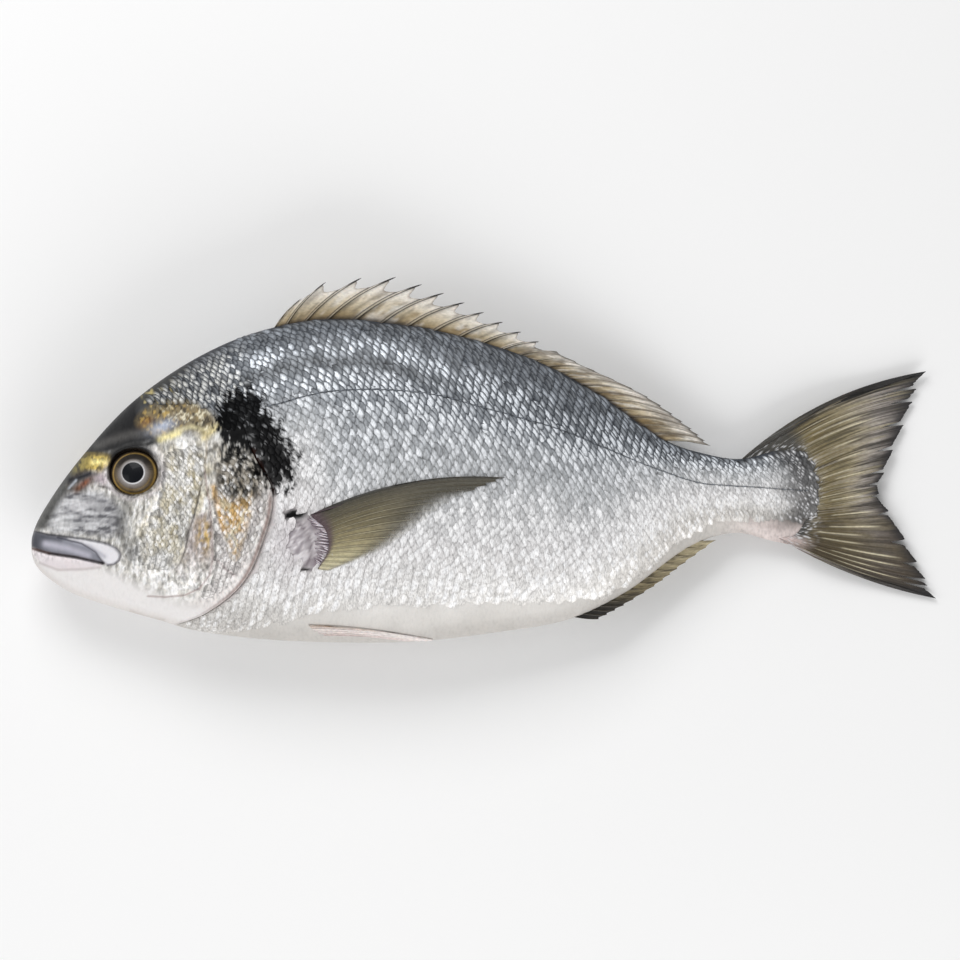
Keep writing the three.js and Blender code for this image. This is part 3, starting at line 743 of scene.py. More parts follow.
def head_flecks(x, y):
    """How strongly the fine flecks show: most on the cheek, least on the lips and the throat."""
    face = region(x, y, FACE, 7)
    lips = region(x, y, UPPER_LIP_AREA, 2)
    jaw = region(x, y, [(-6, -20), (26, -23), (36, -29), (52, -36), (64, -40), (64, -54), (-6, -54)], 6)
    skin = (0.25 + 0.5 * face) * (1 - lips) * (1 - jaw) * (1 - 0.7 * region(x, y, SNOUT, 5))
    return np.clip(skin * (1 - blotch_share(x, y)), 0.04, 1)


def trunk_tint(x, y):
    """The trunk's bare skin, seen between the scales, on the belly and behind the gills, with painted shade
    at the fin's root, in its groove and pit, and in the gill slit.
    """
    p = Paint(x, y, body_tint(x, y) * (1 + 0.05 * noise(x, y, 5, 21))[..., None])
    behind = gill_edge(y) - x
    p.over((222, 216, 216), 0.8 * smooth(behind, -14, -6) * smooth(y, 6, -1) * smooth(y, -42, -34))
    mottle = noise(x, y, 1.3, 48, 2)
    lobe = blob(x, y, (87.6, -17.5), (7, 10))
    p.over((192, 185, 190), 0.85 * lobe)
    p.over((140, 132, 138), 0.85 * lobe * smooth(mottle, 0, 0.3))
    p.over((240, 236, 238), 0.8 * lobe * smooth(mottle, -0.15, -0.4))
    # The dark purple-grey band at the fin's root: partly the skin's own tint, partly painted shade under the
    # fin.
    p.line([(95, -10.5), (97.8, -14), (98.2, -19.5), (95.6, -25)], 8, (112, 96, 106), 0.95)
    p.over((228, 222, 226), 0.6 * blob(x, y, (94, -18), (3, 7)) * smooth(mottle, 0.1, -0.3))
    # Painted shade in the groove behind the fin's root.
    p.line(SHOULDER_GROOVE, 1.2, (104, 92, 98), 0.7)
    # Painted shade: black in the pit above the fin and under the fin's lower corner.
    p.over(BLACK, 1.9 * blob(x, y, (87.4, -8.2), (3.6, 1.6), 8) + 1.2 * blob(x, y, (91, -26.2), (2.2, 0.5)))
    p.over(BLACK, blotch_share(x, y))
    # The gill slit: the gills' dark red, deepened as painted shade inside the opening.
    p.over((40, 22, 17), smooth(near(x, y, GILL_SLIT), 2.4, 0.8))
    p.over((226, 206, 204), 0.5 * smooth(x, 222, 248) * smooth(y, -4, -12))
    p.over((74, 72, 68), 0.9 * smooth(tail_root(y) - x, 13, 3) * smooth(y, -14.5, -9))
    p.over((40, 42, 46), 0.85 * bump(y, side_line(x), 0.36) * smooth(x, 74, 80))
    return p.tints


def add_head(finish):
    crowd = np.linspace(0.007, 1, HEAD_RINGS) ** 1.25
    x, y, side = body_rings(GILL_STATION * crowd, HEAD_STEPS)
    points = flank(x, y, side, head_relief)
    turned_in = points[-1].copy()
    step = 0.4 + 1.1 * smooth(y[-1], 20, 12)
    turned_in[:, 2] -= side[-1] * step * np.minimum(thickness(x[-1], y[-1]) / 3, 1)
    points = np.concatenate([points, turned_in[None]])
    colours = with_channel(head_tint(x, y), head_flecks(x, y))
    colours = np.concatenate([colours, colours[-1:]])
    corners, faces = loft(points)
    add_piece("head", corners, faces, capped(colours), finish)


def add_trunk(finish):
    start = GILL_STATION - GILL_TUCK
    stations = np.concatenate([np.linspace(start, GILL_STATION + 2, GILL_RINGS)[:-1],
                               np.linspace(GILL_STATION + 2, BODY_LENGTH, TRUNK_RINGS)])
    x, y, side = body_rings(stations, TRUNK_STEPS)
    points = flank(x, y, side, trunk_relief)
    colours = with_channel(trunk_tint(x, y), 0.08 + 0.2 * smooth(x, 215, 240))
    corners, faces = loft(points)
    add_piece("trunk", corners, faces, capped(colours), finish)


# Scales
FIRST_SCALE = 20.0
SCALE_LEAN = 0.52
LEAN_FALL = 0.0145  # how much less a scale leans for each millimetre under the side line
LEAN_END = -58
ARC_LIMIT = 90
ARC_STEP = 0.5
PLATE_ALONG = np.array([0, 0.32, 0.5, 0.66, 0.8, 0.9, 1])
PLATE_ACROSS = np.linspace(-1, 1, 5)


def arc_table():
    """Heights on the flank, by x in millimetres and by the distance from the side line along the skin."""
    arcs = np.arange(-ARC_LIMIT, ARC_LIMIT + ARC_STEP, ARC_STEP)
    rows = []
    for x in np.arange(0, BODY_LENGTH + 1.0):
        low, high = belly(x), back(x)
        y = low + (high - low) * (1 - np.cos(np.pi * np.linspace(0, 1, 240))) / 2
        z = thickness(np.full_like(y, x), y)
        arc = np.concatenate([[0], np.cumsum(np.hypot(np.diff(y), np.diff(z)))])
        arc -= np.interp(side_line(x), y, arc)
        rows.append(np.interp(arcs, arc, y, left=np.nan, right=np.nan))
    return np.array(rows)


ARCS = arc_table()


def height_at(x, arc):
    u = np.clip(x, 0, BODY_LENGTH - 0.001)
    v = np.clip((arc + ARC_LIMIT) / ARC_STEP, 0, ARCS.shape[1] - 1.001)
    i, j = u.astype(int), v.astype(int)
    fu, fv = u - i, v - j
    low = ARCS[i, j] * (1 - fu) + ARCS[i + 1, j] * fu
    high = ARCS[i, j + 1] * (1 - fu) + ARCS[i + 1, j + 1] * fu
    return low * (1 - fv) + high * fv


def shrinking(x):
    """Scales are smaller on the nape and before the tail."""
    return 0.78 + 0.22 * smooth(x, 55, 95) - 0.3 * smooth(x, 170, 235) - 0.2 * smooth(x, 236, 256)


def scale_lean(arc):
    """How far a scale leans to the head as it goes up. Those of the belly lean the other way."""
    return SCALE_LEAN + LEAN_FALL * np.clip(arc, LEAN_END, 0)


def lean_shift(arc):
    """The lean added up from the side line."""
    below = np.clip(arc, LEAN_END, 0)
    return SCALE_LEAN * arc + LEAN_FALL / 2 * below ** 2


def scale_lattice(pitch, row_pitch):
    """Middles of scales in rows along the side line, every second row half a scale on."""
    along = [FIRST_SCALE]
    while along[-1] < BODY_LENGTH + 20:
        along.append(along[-1] + pitch * float(shrinking(along[-1])))
    row, column = np.meshgrid(np.arange(-60, 61), np.arange(-30, len(along) + 30), indexing="ij")
    number = column + 0.5 * (row % 2) - lean_shift(row * row_pitch) / pitch
    x = np.interp(number, np.arange(len(along)), along, left=np.nan, right=np.nan)
    return x.ravel(), (row * row_pitch * shrinking(np.nan_to_num(x))).ravel()


def scale_places(rng, keep, pitch, row_pitch):
    """The middles of the scales, a little off the lattice, wherever keep() says."""
    x, arc = scale_lattice(pitch, row_pitch)
    x = x + rng.normal(0, 0.07 * pitch, x.shape)
    arc = arc + rng.normal(0, 0.07 * row_pitch, x.shape)
    good = np.isfinite(x) & (x > FIRST_SCALE) & (x < BODY_LENGTH - 2)
    x, arc = x[good], arc[good]
    y = height_at(x, arc)
    good = np.isfinite(y)
    good[good] = keep(x[good], y[good])
    return x[good], arc[good]


def plate_points(x, arc, size, pitch, row_pitch):
    """x and y of every point of the plates, which end in an arch and lean as their row does."""
    x, arc, size = x[:, None, None], arc[:, None, None], size[:, None, None]
    reach = 0.95 * np.sqrt(1 - 0.6 * PLATE_ACROSS ** 2)
    rise_up = PLATE_ACROSS * row_pitch * 1.15 * size
    forward = ((reach + 0.5) * PLATE_ALONG[:, None] - 0.5) * pitch * size
    plate_x = x + forward - scale_lean(arc) * rise_up
    return plate_x, height_at(plate_x, arc + rise_up)


def plate_faces(count, side):
    """Faces that look outwards, for plates whose points follow each other row by row."""
    rows, columns = len(PLATE_ALONG), len(PLATE_ACROSS)
    offset = (np.arange(count) * rows * columns)[:, None, None]
    i, j = np.meshgrid(np.arange(rows - 1), np.arange(columns - 1), indexing="ij")
    a = offset + i * columns + j
    quads = np.stack([a, a + 1, a + columns + 1, a + columns], -1).reshape(-1, 4)
    return (quads[:, ::-1] if side > 0 else quads).tolist()


def add_scales(name, side, finish, keep, paint, relief, pitch, row_pitch, lift, seed):
    """Overlapping plates, each with its own size, tilt and painted shine. None runs past the flank's edge."""
    rng = np.random.default_rng(seed)
    x, arc = scale_places(rng, keep, pitch, row_pitch)
    count = len(x)
    size = rng.uniform(0.92, 1.1, count) * shrinking(x)
    draws = [rng.uniform(0.6, 1.3, count), rng.normal(0, 0.14, count), rng.random(count)]
    x, y = plate_points(x, arc, size, pitch, row_pitch)
    whole = np.isfinite(y).all((1, 2))
    x, y = x[whole], y[whole]
    tilt, roll, level = [draw[whole][:, None, None] for draw in draws]
    along, across = PLATE_ALONG[:, None], PLATE_ACROSS
    rise = lift * (along ** 1.3 * tilt + roll * across - 0.25 * across ** 2) + 0.02
    points = flank(x, y, side, relief) + outward(x, y, side) * rise[..., None]
    colours = paint(x, y, level, along, across).reshape(-1, 4)
    faces = plate_faces(len(points), side)
    add_piece(sided(name, side), points.reshape(-1, 3), faces, colours, finish)


def painted_glint(along, across, width, length):
    """A painted highlight: a white streak on the part of a plate that the next ones leave bare. It leans as
    the plate does.
    """
    return bump(along, 0.64, width) * bump(across, 0, length)


def plate_rim_and_shade(along, across):
    """The dark rear edge of a plate, strongest on its upper half, and painted shade along its sides and
    front, where the plates around it lie over it.
    """
    rear = smooth(along, 0.82, 1) * (0.65 + 0.35 * across)
    return np.clip(rear + 0.7 * smooth(np.abs(across), 0.6, 1) + smooth(along, 0.5, 0.3), 0, 1)


def scaled_trunk(x, y):
    """Where the trunk and nape have scales: over the smooth belly and before the tail's rays."""
    edge = np.interp(x, [60, 85, 96, 150, 188, 200, 212, 225, 240, 262],
                     [-47, -43.5, -38, -36.6, -35.6, -28, -17, -9.5, -8.5, -12])
    edge = edge + 0.9 * noise(x, y, 5, 41)
    shoulder = (np.hypot((x - 91.5) / 7.5, (y + 17) / 9.5) > 1) & (np.hypot((x - 100) / 8, (y + 14) / 9) > 1)
    shoulder &= (np.hypot((x - 86.4) / 5, (y + 8.2) / 3.2) > 1) & (np.hypot((x - 91) / 3, (y + 26) / 1.6) > 1)
    behind = x > gill_edge(y) + np.where(y > 14, 0.5, 1.6)
    above = [(34, 27.5), (44, 28.5), (51, 29.5), (57, 27.5), (62, 23), (67, 18), (80, 30), (80, 75), (20, 75)]
    nape = region(x, y, above, 0.1) > 0.5
    ahead = tail_root(y) + 1.5 - x
    kept = noise(x * 9, y * 9, 1, 47, 1) > 1.2 * smooth(ahead, 9, 0) - 1.0
    return (y > edge) & (ahead > 0) & kept & shoulder & (behind | nape)


def trunk_scale_paint(x, y, level, along, across):
    """Leaning painted glints, in bands as the light falls on them, pale outlines, and dark rear edges with
    painted shade where the plates around lie over them.
    """
    share = height_share(x, y)
    ground = body_tint(x, y)
    on_head = smooth(x - gill_edge(y), 1, -6)
    forward = on_head > 0
    bare = head_tint(x[forward], y[forward])
    ground[forward] += (bare - ground[forward]) * on_head[forward][:, None]
    # Painted highlights: how strongly the glints show, in patches, by height and in two bands on the upper
    # flank where the light falls.
    patchy = np.clip(0.8 + 0.5 * noise(x * 0.3, y, 6, 43, 2) + 0.3 * noise(x, y, 9, 44, 2), 0.1, 1.4)
    upper_glint_band = bump(share, np.interp(x, [60, 115, 150, 200], [0.91, 0.905, 0.86, 0.84]),
                      np.interp(x, [120, 170], [0.022, 0.04]))
    lower_glint_band = bump(share, np.interp(x, [60, 115, 150, 200], [0.79, 0.795, 0.75, 0.72]), 0.04)
    height = np.interp(x, [110, 160], [1.3, 2.6])
    plain = np.interp(share, [0.08, 0.14, 0.2, 0.4, 0.52, 0.64, 0.76, 0.97],
                      [0.5, 0.9, 1.2, 1, 0.55, 0.6, 0.4, 0.3])
    plain = plain + 1.2 * smooth(x, 165, 220) * smooth(share, 0.35, 0.5)
    plain = plain + 0.25 * smooth(share, 0.5, 0.62) * smooth(share, 0.8, 0.74) * smooth(x, 235, 215)
    in_glint_band = np.maximum(upper_glint_band, lower_glint_band)
    strength = patchy * (plain + height * in_glint_band)
    shine = np.clip(strength * (0.1 + 1.2 * smooth(level, 0.1, 0.9)), 0, 1) * (1 - 0.85 * on_head)
    # A row between the two bands with fainter painted glints and a darker ground.
    dark_row = bump(share, 0.855, 0.024) * smooth(x, 150, 125) * smooth(x, 60, 75)
    shine = shine * (1 - 0.75 * dark_row)
    ground = ground * (1 - 0.4 * dark_row - 0.3 * smooth(x, 200, 225) * smooth(share, 0.45, 0.6))[..., None]
    # The painted highlight's streak and its tint, narrower in the bands.
    narrow = smooth(share, 0.7, 0.84) * smooth(x, 70, 90)
    streak = np.clip(1.9 * painted_glint(along, across, 0.22 - 0.05 * narrow, 0.85 - 0.2 * narrow) * shine, 0, 1)
    highlight_tint = ramp(share, [(0.4, (253, 253, 254)), (0.55, (236, 238, 242)), (0.72, (244, 248, 253)),
                          (0.9, (240, 246, 254)), (1, (170, 177, 186))])
    highlight_tint = highlight_tint + (light((244, 226, 160)) - highlight_tint) * (on_head * smooth(x, 56, 46))[..., None]
    # Painted shade round each plate, and each plate's ground painted lighter the more it shines, as the light
    # that its tilt gives back.
    rim_and_shade_depth = np.interp(share, [0.1, 0.16, 0.3, 0.5, 0.7, 0.85, 1], [0, 0.12, 0.26, 0.36, 0.66, 0.74, 0.55])
    uneven_shine = 0.94 + 0.14 * level + 0.3 * smooth(share, 0.2, 0.6) * (level - 0.5)
    ground = ground * (uneven_shine * (1 - rim_and_shade_depth * plate_rim_and_shade(along, across)))[..., None]
    p = Paint(x, y, ground + (highlight_tint - ground) * streak[..., None])
    # Dark edges and painted shade round the plates in the bands of glints.
    p.over((66, 72, 80), 0.85 * plate_rim_and_shade(along, across) * in_glint_band * smooth(share, 0.62, 0.7))
    p.tints = p.tints * (1 + 0.2 * noise(x * 1.8, y * 0.9, 1.2, 50, 2))[..., None]
    outline = bump(along, 0.84, 0.06) * smooth(np.abs(across), 1, 0.6) * (1 - shine)
    p.over((200, 206, 212), outline * np.interp(share, [0.3, 0.5, 0.75, 0.93, 1], [0, 0.5, 0.45, 0.36, 0.4]))
    # Painted glints: small white dots on the nape's scales.
    dots = smooth(x - gill_edge(y), 8, 0) * smooth(level, 0.2, 0.4) * painted_glint(along, across, 0.2, 0.55)
    p.over((240, 240, 236), dots * smooth(y, 26, 30) * smooth(back(x) - y, 1, 6))
    p.over((204, 198, 201), 0.8 * blob(x, y, (87, -17), (9, 12)))
    p.over(BLACK, blotch_share(x, y) * (0.94 + 0.06 * along))
    to_tail = smooth(tail_root(y) + 3 * noise(x, y, 5, 49) - x, 17, 4)
    p.over((72, 71, 71), 0.85 * to_tail)
    # Painted glints: white dots on the dark scales before the tail.
    p.over((240, 240, 242), to_tail * smooth(level, 0.3, 0.5) * painted_glint(along, across, 0.18, 0.42))
    return with_channel(p.tints, 0.35 * (1 - blotch_share(x, y)))


def scaled_head(x, y):
    """Where the head has small scales: the cheek behind the eye and the gill cover."""
    cheek = region(x, y, [(44, 12), (58, 15), (55, 0), (50, -18), (44, -28), (33, -22), (40, -10),
                          (44, -2)], 0.1)
    cover = region(x, y, [(62, 12), (72, 12), (78, 0), (73, -18), (66, -30), (58, -36), (56, -34),
                          (60, -30)], 0.1)
    clear = near(x, y, CHEEK_EDGE) > 1
    return ((cheek > 0.5) | (cover > 0.5)) & (x < gill_edge(y) - 2) & clear


def head_scale_paint(x, y, level, along, across):
    # The head's small scales: painted glints, a ground painted lighter the more each plate shines, and
    # painted shade round each plate.
    ground = head_tint(x, y)
    dark = blotch_share(x, y)
    ground = ground * (0.74 + 0.46 * level)[..., None] * (1 - 0.5 * plate_rim_and_shade(along, across))[..., None]
    shine = painted_glint(along, across, 0.22, 0.65) * smooth(level, 0.35, 0.9) * (1 - dark) * smooth(x, 34, 42)
    return with_channel(ground + (light(WHITE) - ground) * shine[..., None], 0.3 * (1 - dark))


def add_side_line(side, finish):
    """The thin dark line of pores along the flank, as one slender bead over the scales."""
    x = np.arange(77.5, tail_root(0.0) - 3, 0.5)
    y = side_line(x) + 0.1 * noise(x, 0 * x, 3, 45)
    turn = np.linspace(0, 2 * np.pi, 6, endpoint=False)
    width = (0.17 + 0.07 * np.sin(x * 2.4)) * shrinking(x)
    height = y[:, None] + width[:, None] * np.cos(turn)
    along = np.broadcast_to(x[:, None], height.shape)
    rise = 0.5 + 0.12 * np.sin(turn) + 0 * height
    points = flank(along, height, side, trunk_relief) + outward(along, height, side) * rise[..., None]
    tints = light((96, 100, 106)) * (1 + 0.7 * np.sin(along * 2.4))[..., None]
    corners, faces = loft(points)
    faces = outside_first(corners, faces)
    add_piece(sided("side_line", side), corners, faces, capped(with_channel(tints, 0)), finish)


# Fins
SHARP_STEPS = np.array([0, 0.035, 0.07, 0.12, 0.22, 0.34, 0.48, 0.62, 0.76, 0.87, 0.93, 0.965])
EVEN_STEPS = np.arange(12) / 12


def by_ray(corners, rays):
    """The smooth line through a few corners, as a function of the place among the rays."""
    line = spline(corners)
    return lambda n: line(n / (rays - 1))


def fin_columns(rays, steps, roots, tips, bows, reach, rows):
    """A fin's columns, which stand on its rays and at steps between them, bowed by the first ray's and the
    last ray's bow: x, y, the share of the way out, the place among the rays and the distance to a ray.
    """
    places = np.append((np.arange(rays - 1)[:, None] + steps).ravel(), rays - 1)
    a, b = roots(places), tips(places)
    bow = np.interp(places, [0, rays - 1], bows)
    across = np.stack([a[:, 1] - b[:, 1], b[:, 0] - a[:, 0]], -1) * (bow * 2)[:, None]
    control = (a + b) / 2 + across
    t = (np.linspace(0, 1, rows)[None, :] * reach(places)[:, None])[..., None]
    curve = (1 - t) ** 2 * a[:, None] + 2 * t * (1 - t) * control[:, None] + t * t * b[:, None]
    n = np.broadcast_to(places[:, None], curve.shape[:2])
    return curve[..., 0], curve[..., 1], t[..., 0], n, np.abs(n - np.round(n))


def scalloped(depth):
    """The reach of columns whose edge dips by this share between rays."""
    return lambda n: 1 - depth * np.sin(np.pi * (n - np.floor(n)))


def ray_ridge(off, t, branch):
    """1 on a ray and 0 between rays. Soft rays part in two further out."""
    share = smooth(t, 0.35, 0.7) * branch
    return bump(off, 0, 0.1) * (1 - 0.6 * share) + bump(off, 0.24, 0.08) * share * 0.9


def in_middle(x, y, thick, waves, swing):
    z = middle(x) + swing * np.sin(waves * x + y / 9)
    return np.stack([x, y, z + thick / 2], -1), np.stack([x, y, z - thick / 2], -1)


def on_flank(x, y, thick, side, lift):
    normal = outward(x, y, side)
    base = flank(x, y, side, trunk_relief) + normal * lift[..., None]
    return base + normal * thick[..., None], base


def add_fin(name, faces_of_fin, tints, solid, finish):
    """A closed sheet from its two faces: columns from base to tip in front, and back again behind."""
    front, rear = faces_of_fin
    rings = np.concatenate([front, rear[:, ::-1]], 1)
    colours = with_channel(tints, solid)
    colours = np.concatenate([colours, colours[:, ::-1]], 1)
    corners, faces = loft(rings)
    add_piece(name, corners, outside_first(corners, faces), capped(colours), finish)


def dorsal_reach(n):
    """How far each column of the dorsal fin reaches: its web dips between the hard spines."""
    f = n - np.floor(n)
    web = 0.9 - 0.22 * smooth(f, 0.02, 0.6) + 0.02 * smooth(f, 0.7, 1) - 0.03 * np.sin(np.pi * f)
    hard = np.where((f > 0.04) & (f < 0.96), web, 1 - 0.9 * np.minimum(f, 1 - f))
    return np.where(n < DORSAL_SPINES, hard, 1 - 0.09 * np.sin(np.pi * f))


def dorsal_tint(x, y, t, n, off, hard):
    """Cream webs between dark-edged spines, and brown soft rays behind them."""
    edge = t / dorsal_reach(n)
    p = Paint(x, y, ramp(t, [(0.05, (150, 128, 90)), (0.3, (212, 198, 170)), (0.6, (248, 241, 230)),
                             (1, (236, 230, 222))]))
    p.over((92, 84, 72), 0.5 * smooth(noise(n * 5, t * 3, 1, 56, 2), 0.1, 0.5) * smooth(t, 1, 0.5))
    p.over((138, 112, 66), 0.6 * smooth(noise(n * 2, t * 4, 1.1, 51), 0.05, 0.6) * smooth(t, 0.75, 0.25))
    p.over((244, 240, 232), 0.6 * smooth(noise(n * 2.4, t * 3, 1, 52), 0.1, 0.6))
    p.over((112, 102, 90), 0.5 * smooth(edge, 0.93, 1) * (off > 0.05))
    p.over((56, 52, 48), bump(off, 0.07, 0.04) * np.where(hard, 0.95, 0.85))
    p.over((200, 190, 168), 0.85 * bump(off, 0, 0.025) * smooth(t, 0.85, 0.5))
    p.over((52, 49, 49), smooth(t, 0.7, 0.86) * (off < 0.05) * hard)
    p.over((98, 84, 66), 0.55 * (1 - hard) * smooth(noise(n * 3, t * 3, 1, 53), -0.3, 0.3))
    p.over((58, 54, 52), 0.7 * (1 - hard) * smooth(edge, 0.8, 1))
    p.over((58, 52, 48), smooth(t, 0.14, 0.05) * 0.85)
    return p.tints


def add_dorsal(finish):
    root_x, tip_x = through(DORSAL_ROOTS, evenly), through(DORSAL_TIPS, evenly)
    height = through(DORSAL_HEIGHT, evenly)

    def roots(n):
        return np.stack([root_x(n), back(root_x(n)) - 0.9], -1)

    def tips(n):
        return np.stack([tip_x(n), height(tip_x(n))], -1)

    x, y, t, n, off = fin_columns(DORSAL_RAYS, SHARP_STEPS, roots, tips, (0.06, 0.06), dorsal_reach, 32)
    hard = n < DORSAL_SPINES - 0.5
    thick = 0.4 + ray_ridge(off, t, ~hard) * np.where(hard, 1.3 - 0.8 * t, 0.8 - 0.5 * t)
    tints = dorsal_tint(x, y, t, n, off, hard)
    add_fin("dorsal_fin", in_middle(x, y, thick, 0.12, 0.7), tints, 0.93, finish)


TAIL_SLITS = {2: 0.15, 4: 0.09, 7: 0.12, 10: 0.13, 13: 0.12, 15: 0.09, 17: 0.07, 20: 0.09, 23: 0.08, 25: 0.06,
              27: 0.12, 28: 0.1}  # how deep the frayed edge is slit behind each of these rays


def tail_reach(places):
    """How far each column of the tail fin reaches: its edge is slit into slanting tufts."""
    middle_part = smooth(places, 0, 1) * smooth(places, TAIL_RAYS - 1, TAIL_RAYS - 2)
    reach = 1 - 0.012 * np.abs(noise(places * 3, 0 * places, 1, 61)) * middle_part
    slits = sorted(TAIL_SLITS)
    for start, end in zip([-0.5] + slits, slits + [TAIL_RAYS - 1.5]):
        inside = (places >= start + 0.5) & (places <= end + 0.5)
        share = (places - start - 0.5) / (end - start)
        slant = share if end <= TAIL_RAYS / 2 else 1 - share
        reach = np.where(inside, reach - 0.05 * slant, reach)
    for slit, depth in TAIL_SLITS.items():
        reach -= 1.25 * depth * np.clip(1.3 - np.abs(places - slit - 0.5) / 0.2, 0, 1)
    return reach


def tail_tint(x, y, t, n, off):
    """Olive rays with pale windows, a dark edge, and a dark root with light specks."""
    streak = noise(n * 2.2, t * 3, 1.4, 62)
    fine = noise(n * 7, t * 3, 1.2, 63, 2)
    rim = np.minimum(n, TAIL_RAYS - 1 - n)
    p = Paint(x, y, ramp(t, [(0, (96, 92, 84)), (0.25, (134, 119, 80)), (0.5, (158, 146, 116)),
                             (0.75, (172, 164, 157)), (1, (74, 70, 70))]))
    p.over((60, 55, 48), 0.75 * smooth(streak, 0.05, 0.5) * smooth(t, 0, 0.2))
    p.over((158, 148, 116), 0.6 * smooth(streak, -0.1, -0.6))
    p.over((50, 46, 42), 0.7 * smooth(fine, 0.1, 0.5))
    p.over((190, 182, 168), 0.5 * smooth(fine, -0.15, -0.5) * smooth(t, 1, 0.6))
    p.over((72, 62, 50), 0.85 * smooth(n, 16, 26) * smooth(t, 0.05, 0.2))
    p.over((50, 47, 46), 0.75 * bump(off, 0.46, 0.04) * smooth(t, 0.3, 0.6))
    window = np.random.default_rng(64).uniform(0, 1, (TAIL_RAYS, 3))
    ray = np.round(n).astype(int)
    start, length, shine = window[ray, 0] * 0.3 + 0.06, window[ray, 1] * 0.3 + 0.35, window[ray, 2]
    drawn = smooth(t, start, start + 0.06) * smooth(t, start + length, start + length - 0.2)
    p.over((234, 224, 194), 0.95 * drawn * (shine > 0.45) * bump(n - np.round(n), 0, 0.085))
    p.over((90, 80, 54), 0.35 * smooth(t, 0.1, 0.3) * smooth(t, 0.6, 0.4))
    p.over((42, 41, 43), 0.9 * smooth(t, 0.84, 0.99))
    p.over((46, 45, 46), 0.9 * smooth(rim, 1.8, 0.3) * smooth(t, 0.05, 0.4))
    p.over((72, 71, 69), 0.9 * smooth(t - 0.2 * smooth(n, 10, 0), 0.14, 0.02))
    p.over((216, 198, 194), 0.85 * smooth(n, 24, 27) * smooth(t, 0.22, 0.02))
    p.over((222, 222, 224), 0.85 * smooth(t, 0.22, 0.08) * smooth(noise(x * 2, y * 2, 1.1, 65, 2), 0.28, 0.5))
    return p.tints


def add_tail(finish):
    roots, tips = by_ray(TAIL_ROOTS, TAIL_RAYS), by_ray(TAIL_TIPS, TAIL_RAYS)
    x, y, t, n, off = fin_columns(TAIL_RAYS, EVEN_STEPS, roots, tips, (0.075, -0.045), tail_reach, 52)
    thick = 0.4 + ray_ridge(off, t, 1) * (0.2 + 0.7 * smooth(t, 0.05, 0.3) - 0.6 * t)
    faces = in_middle(x, y, thick, 0.05, 0.9 * smooth(x, 258, 285))
    add_fin("tail_fin", faces, tail_tint(x, y, t, n, off), 0.97, finish)


def add_anal(finish):
    roots, tips = by_ray(ANAL_ROOTS, ANAL_RAYS), by_ray(ANAL_TIPS, ANAL_RAYS)
    x, y, t, n, off = fin_columns(ANAL_RAYS, SHARP_STEPS, roots, tips, (-0.05, -0.05), scalloped(0.1), 26)
    thick = 0.4 + ray_ridge(off, t, n > 3) * (1.2 - 0.8 * t)
    p = Paint(x, y, ramp(n, [(0, (40, 38, 38)), (3, (58, 54, 48)), (6, (150, 138, 108)),
                             (13, (196, 184, 152))]))
    p.over((84, 76, 62), 0.7 * bump(off, 0.08, 0.05))
    p.over((60, 54, 48), 0.6 * smooth(noise(n * 2, t * 3, 1, 54), 0, 0.6))
    add_fin("anal_fin", in_middle(x, y, thick, 0.1, 0.5), p.tints, 0.96, finish)


def add_pectoral(side, finish):
    roots, tips = by_ray(PECTORAL_ROOTS, PECTORAL_RAYS), by_ray(PECTORAL_TIPS, PECTORAL_RAYS)
    x, y, t, n, off = fin_columns(PECTORAL_RAYS, SHARP_STEPS, roots, tips, (0.07, 0), scalloped(0.03), 56)
    thick = 0.2 + ray_ridge(off, t, n > 1) * (0.3 - 0.16 * t)
    lift = 0.26 + 0.22 * smooth(t, 0.1, 0.3)
    down = n / (PECTORAL_RAYS - 1)
    p = Paint(x, y, ramp(down, [(0, (60, 58, 52)), (0.12, (92, 87, 72)), (0.35, (122, 113, 86)),
                                (0.6, (162, 151, 116)), (0.85, (206, 198, 162)), (1, (216, 208, 178))]))
    p.over((98, 95, 86), 0.85 * smooth(t, 0.3, 0.8) * smooth(down, 0.9, 0.3))
    p.over((152, 148, 138), 0.7 * smooth(t, 0.5, 1) * smooth(down, 0.15, 0.5))
    p.over((70, 63, 48), 0.7 * bump(off, 0.13, 0.07))
    p.over((206, 198, 164), 0.35 * bump(off, 0, 0.05) * smooth(down, 0.1, 0.4))
    p.over((74, 68, 54), 0.45 * smooth(noise(n * 3, t * 3, 1, 55), 0, 0.6) * smooth(down, 0.9, 0.4))
    p.over((62, 60, 56), 0.9 * smooth(n, 0.8, 0.1))
    # Painted shade at the fin's base.
    p.over((92, 76, 82), 0.9 * smooth(t, 0.09, 0.01))
    solid = 1 - 0.9 * smooth(t, 0.55, 1) * smooth(down, 0.06, 0.3) - 0.15 * smooth(down, 0.7, 1)
    add_fin(sided("pectoral_fin", side), on_flank(x, y, thick, side, lift), p.tints, solid, finish)


def add_pelvic(side, finish):
    roots, tips = by_ray(PELVIC_ROOTS, PELVIC_RAYS), by_ray(PELVIC_TIPS, PELVIC_RAYS)
    x, y, t, n, off = fin_columns(PELVIC_RAYS, SHARP_STEPS, roots, tips, (0.02, 0.02), scalloped(0), 26)
    ridge = ray_ridge(off, t, 1)
    p = Paint(x, y, light((240, 230, 226)) * np.ones(x.shape + (1,)))
    # Painted shade along the fin's upper edge, where it lies against the belly.
    p.over((176, 138, 100), 0.85 * smooth(n, 0.9, 0.2) * smooth(t, 0.9, 0.3))
    p.over((252, 249, 247), 0.6 * ridge)
    p.over((206, 186, 182), 0.5 * smooth(n, 2.6, 3.6))
    faces = on_flank(x, y, 0.3 + ridge * (0.5 - 0.3 * t), side, 0.05 + 0.1 * t)
    add_fin(sided("pelvic_fin", side), faces, p.tints, 0.97, finish)


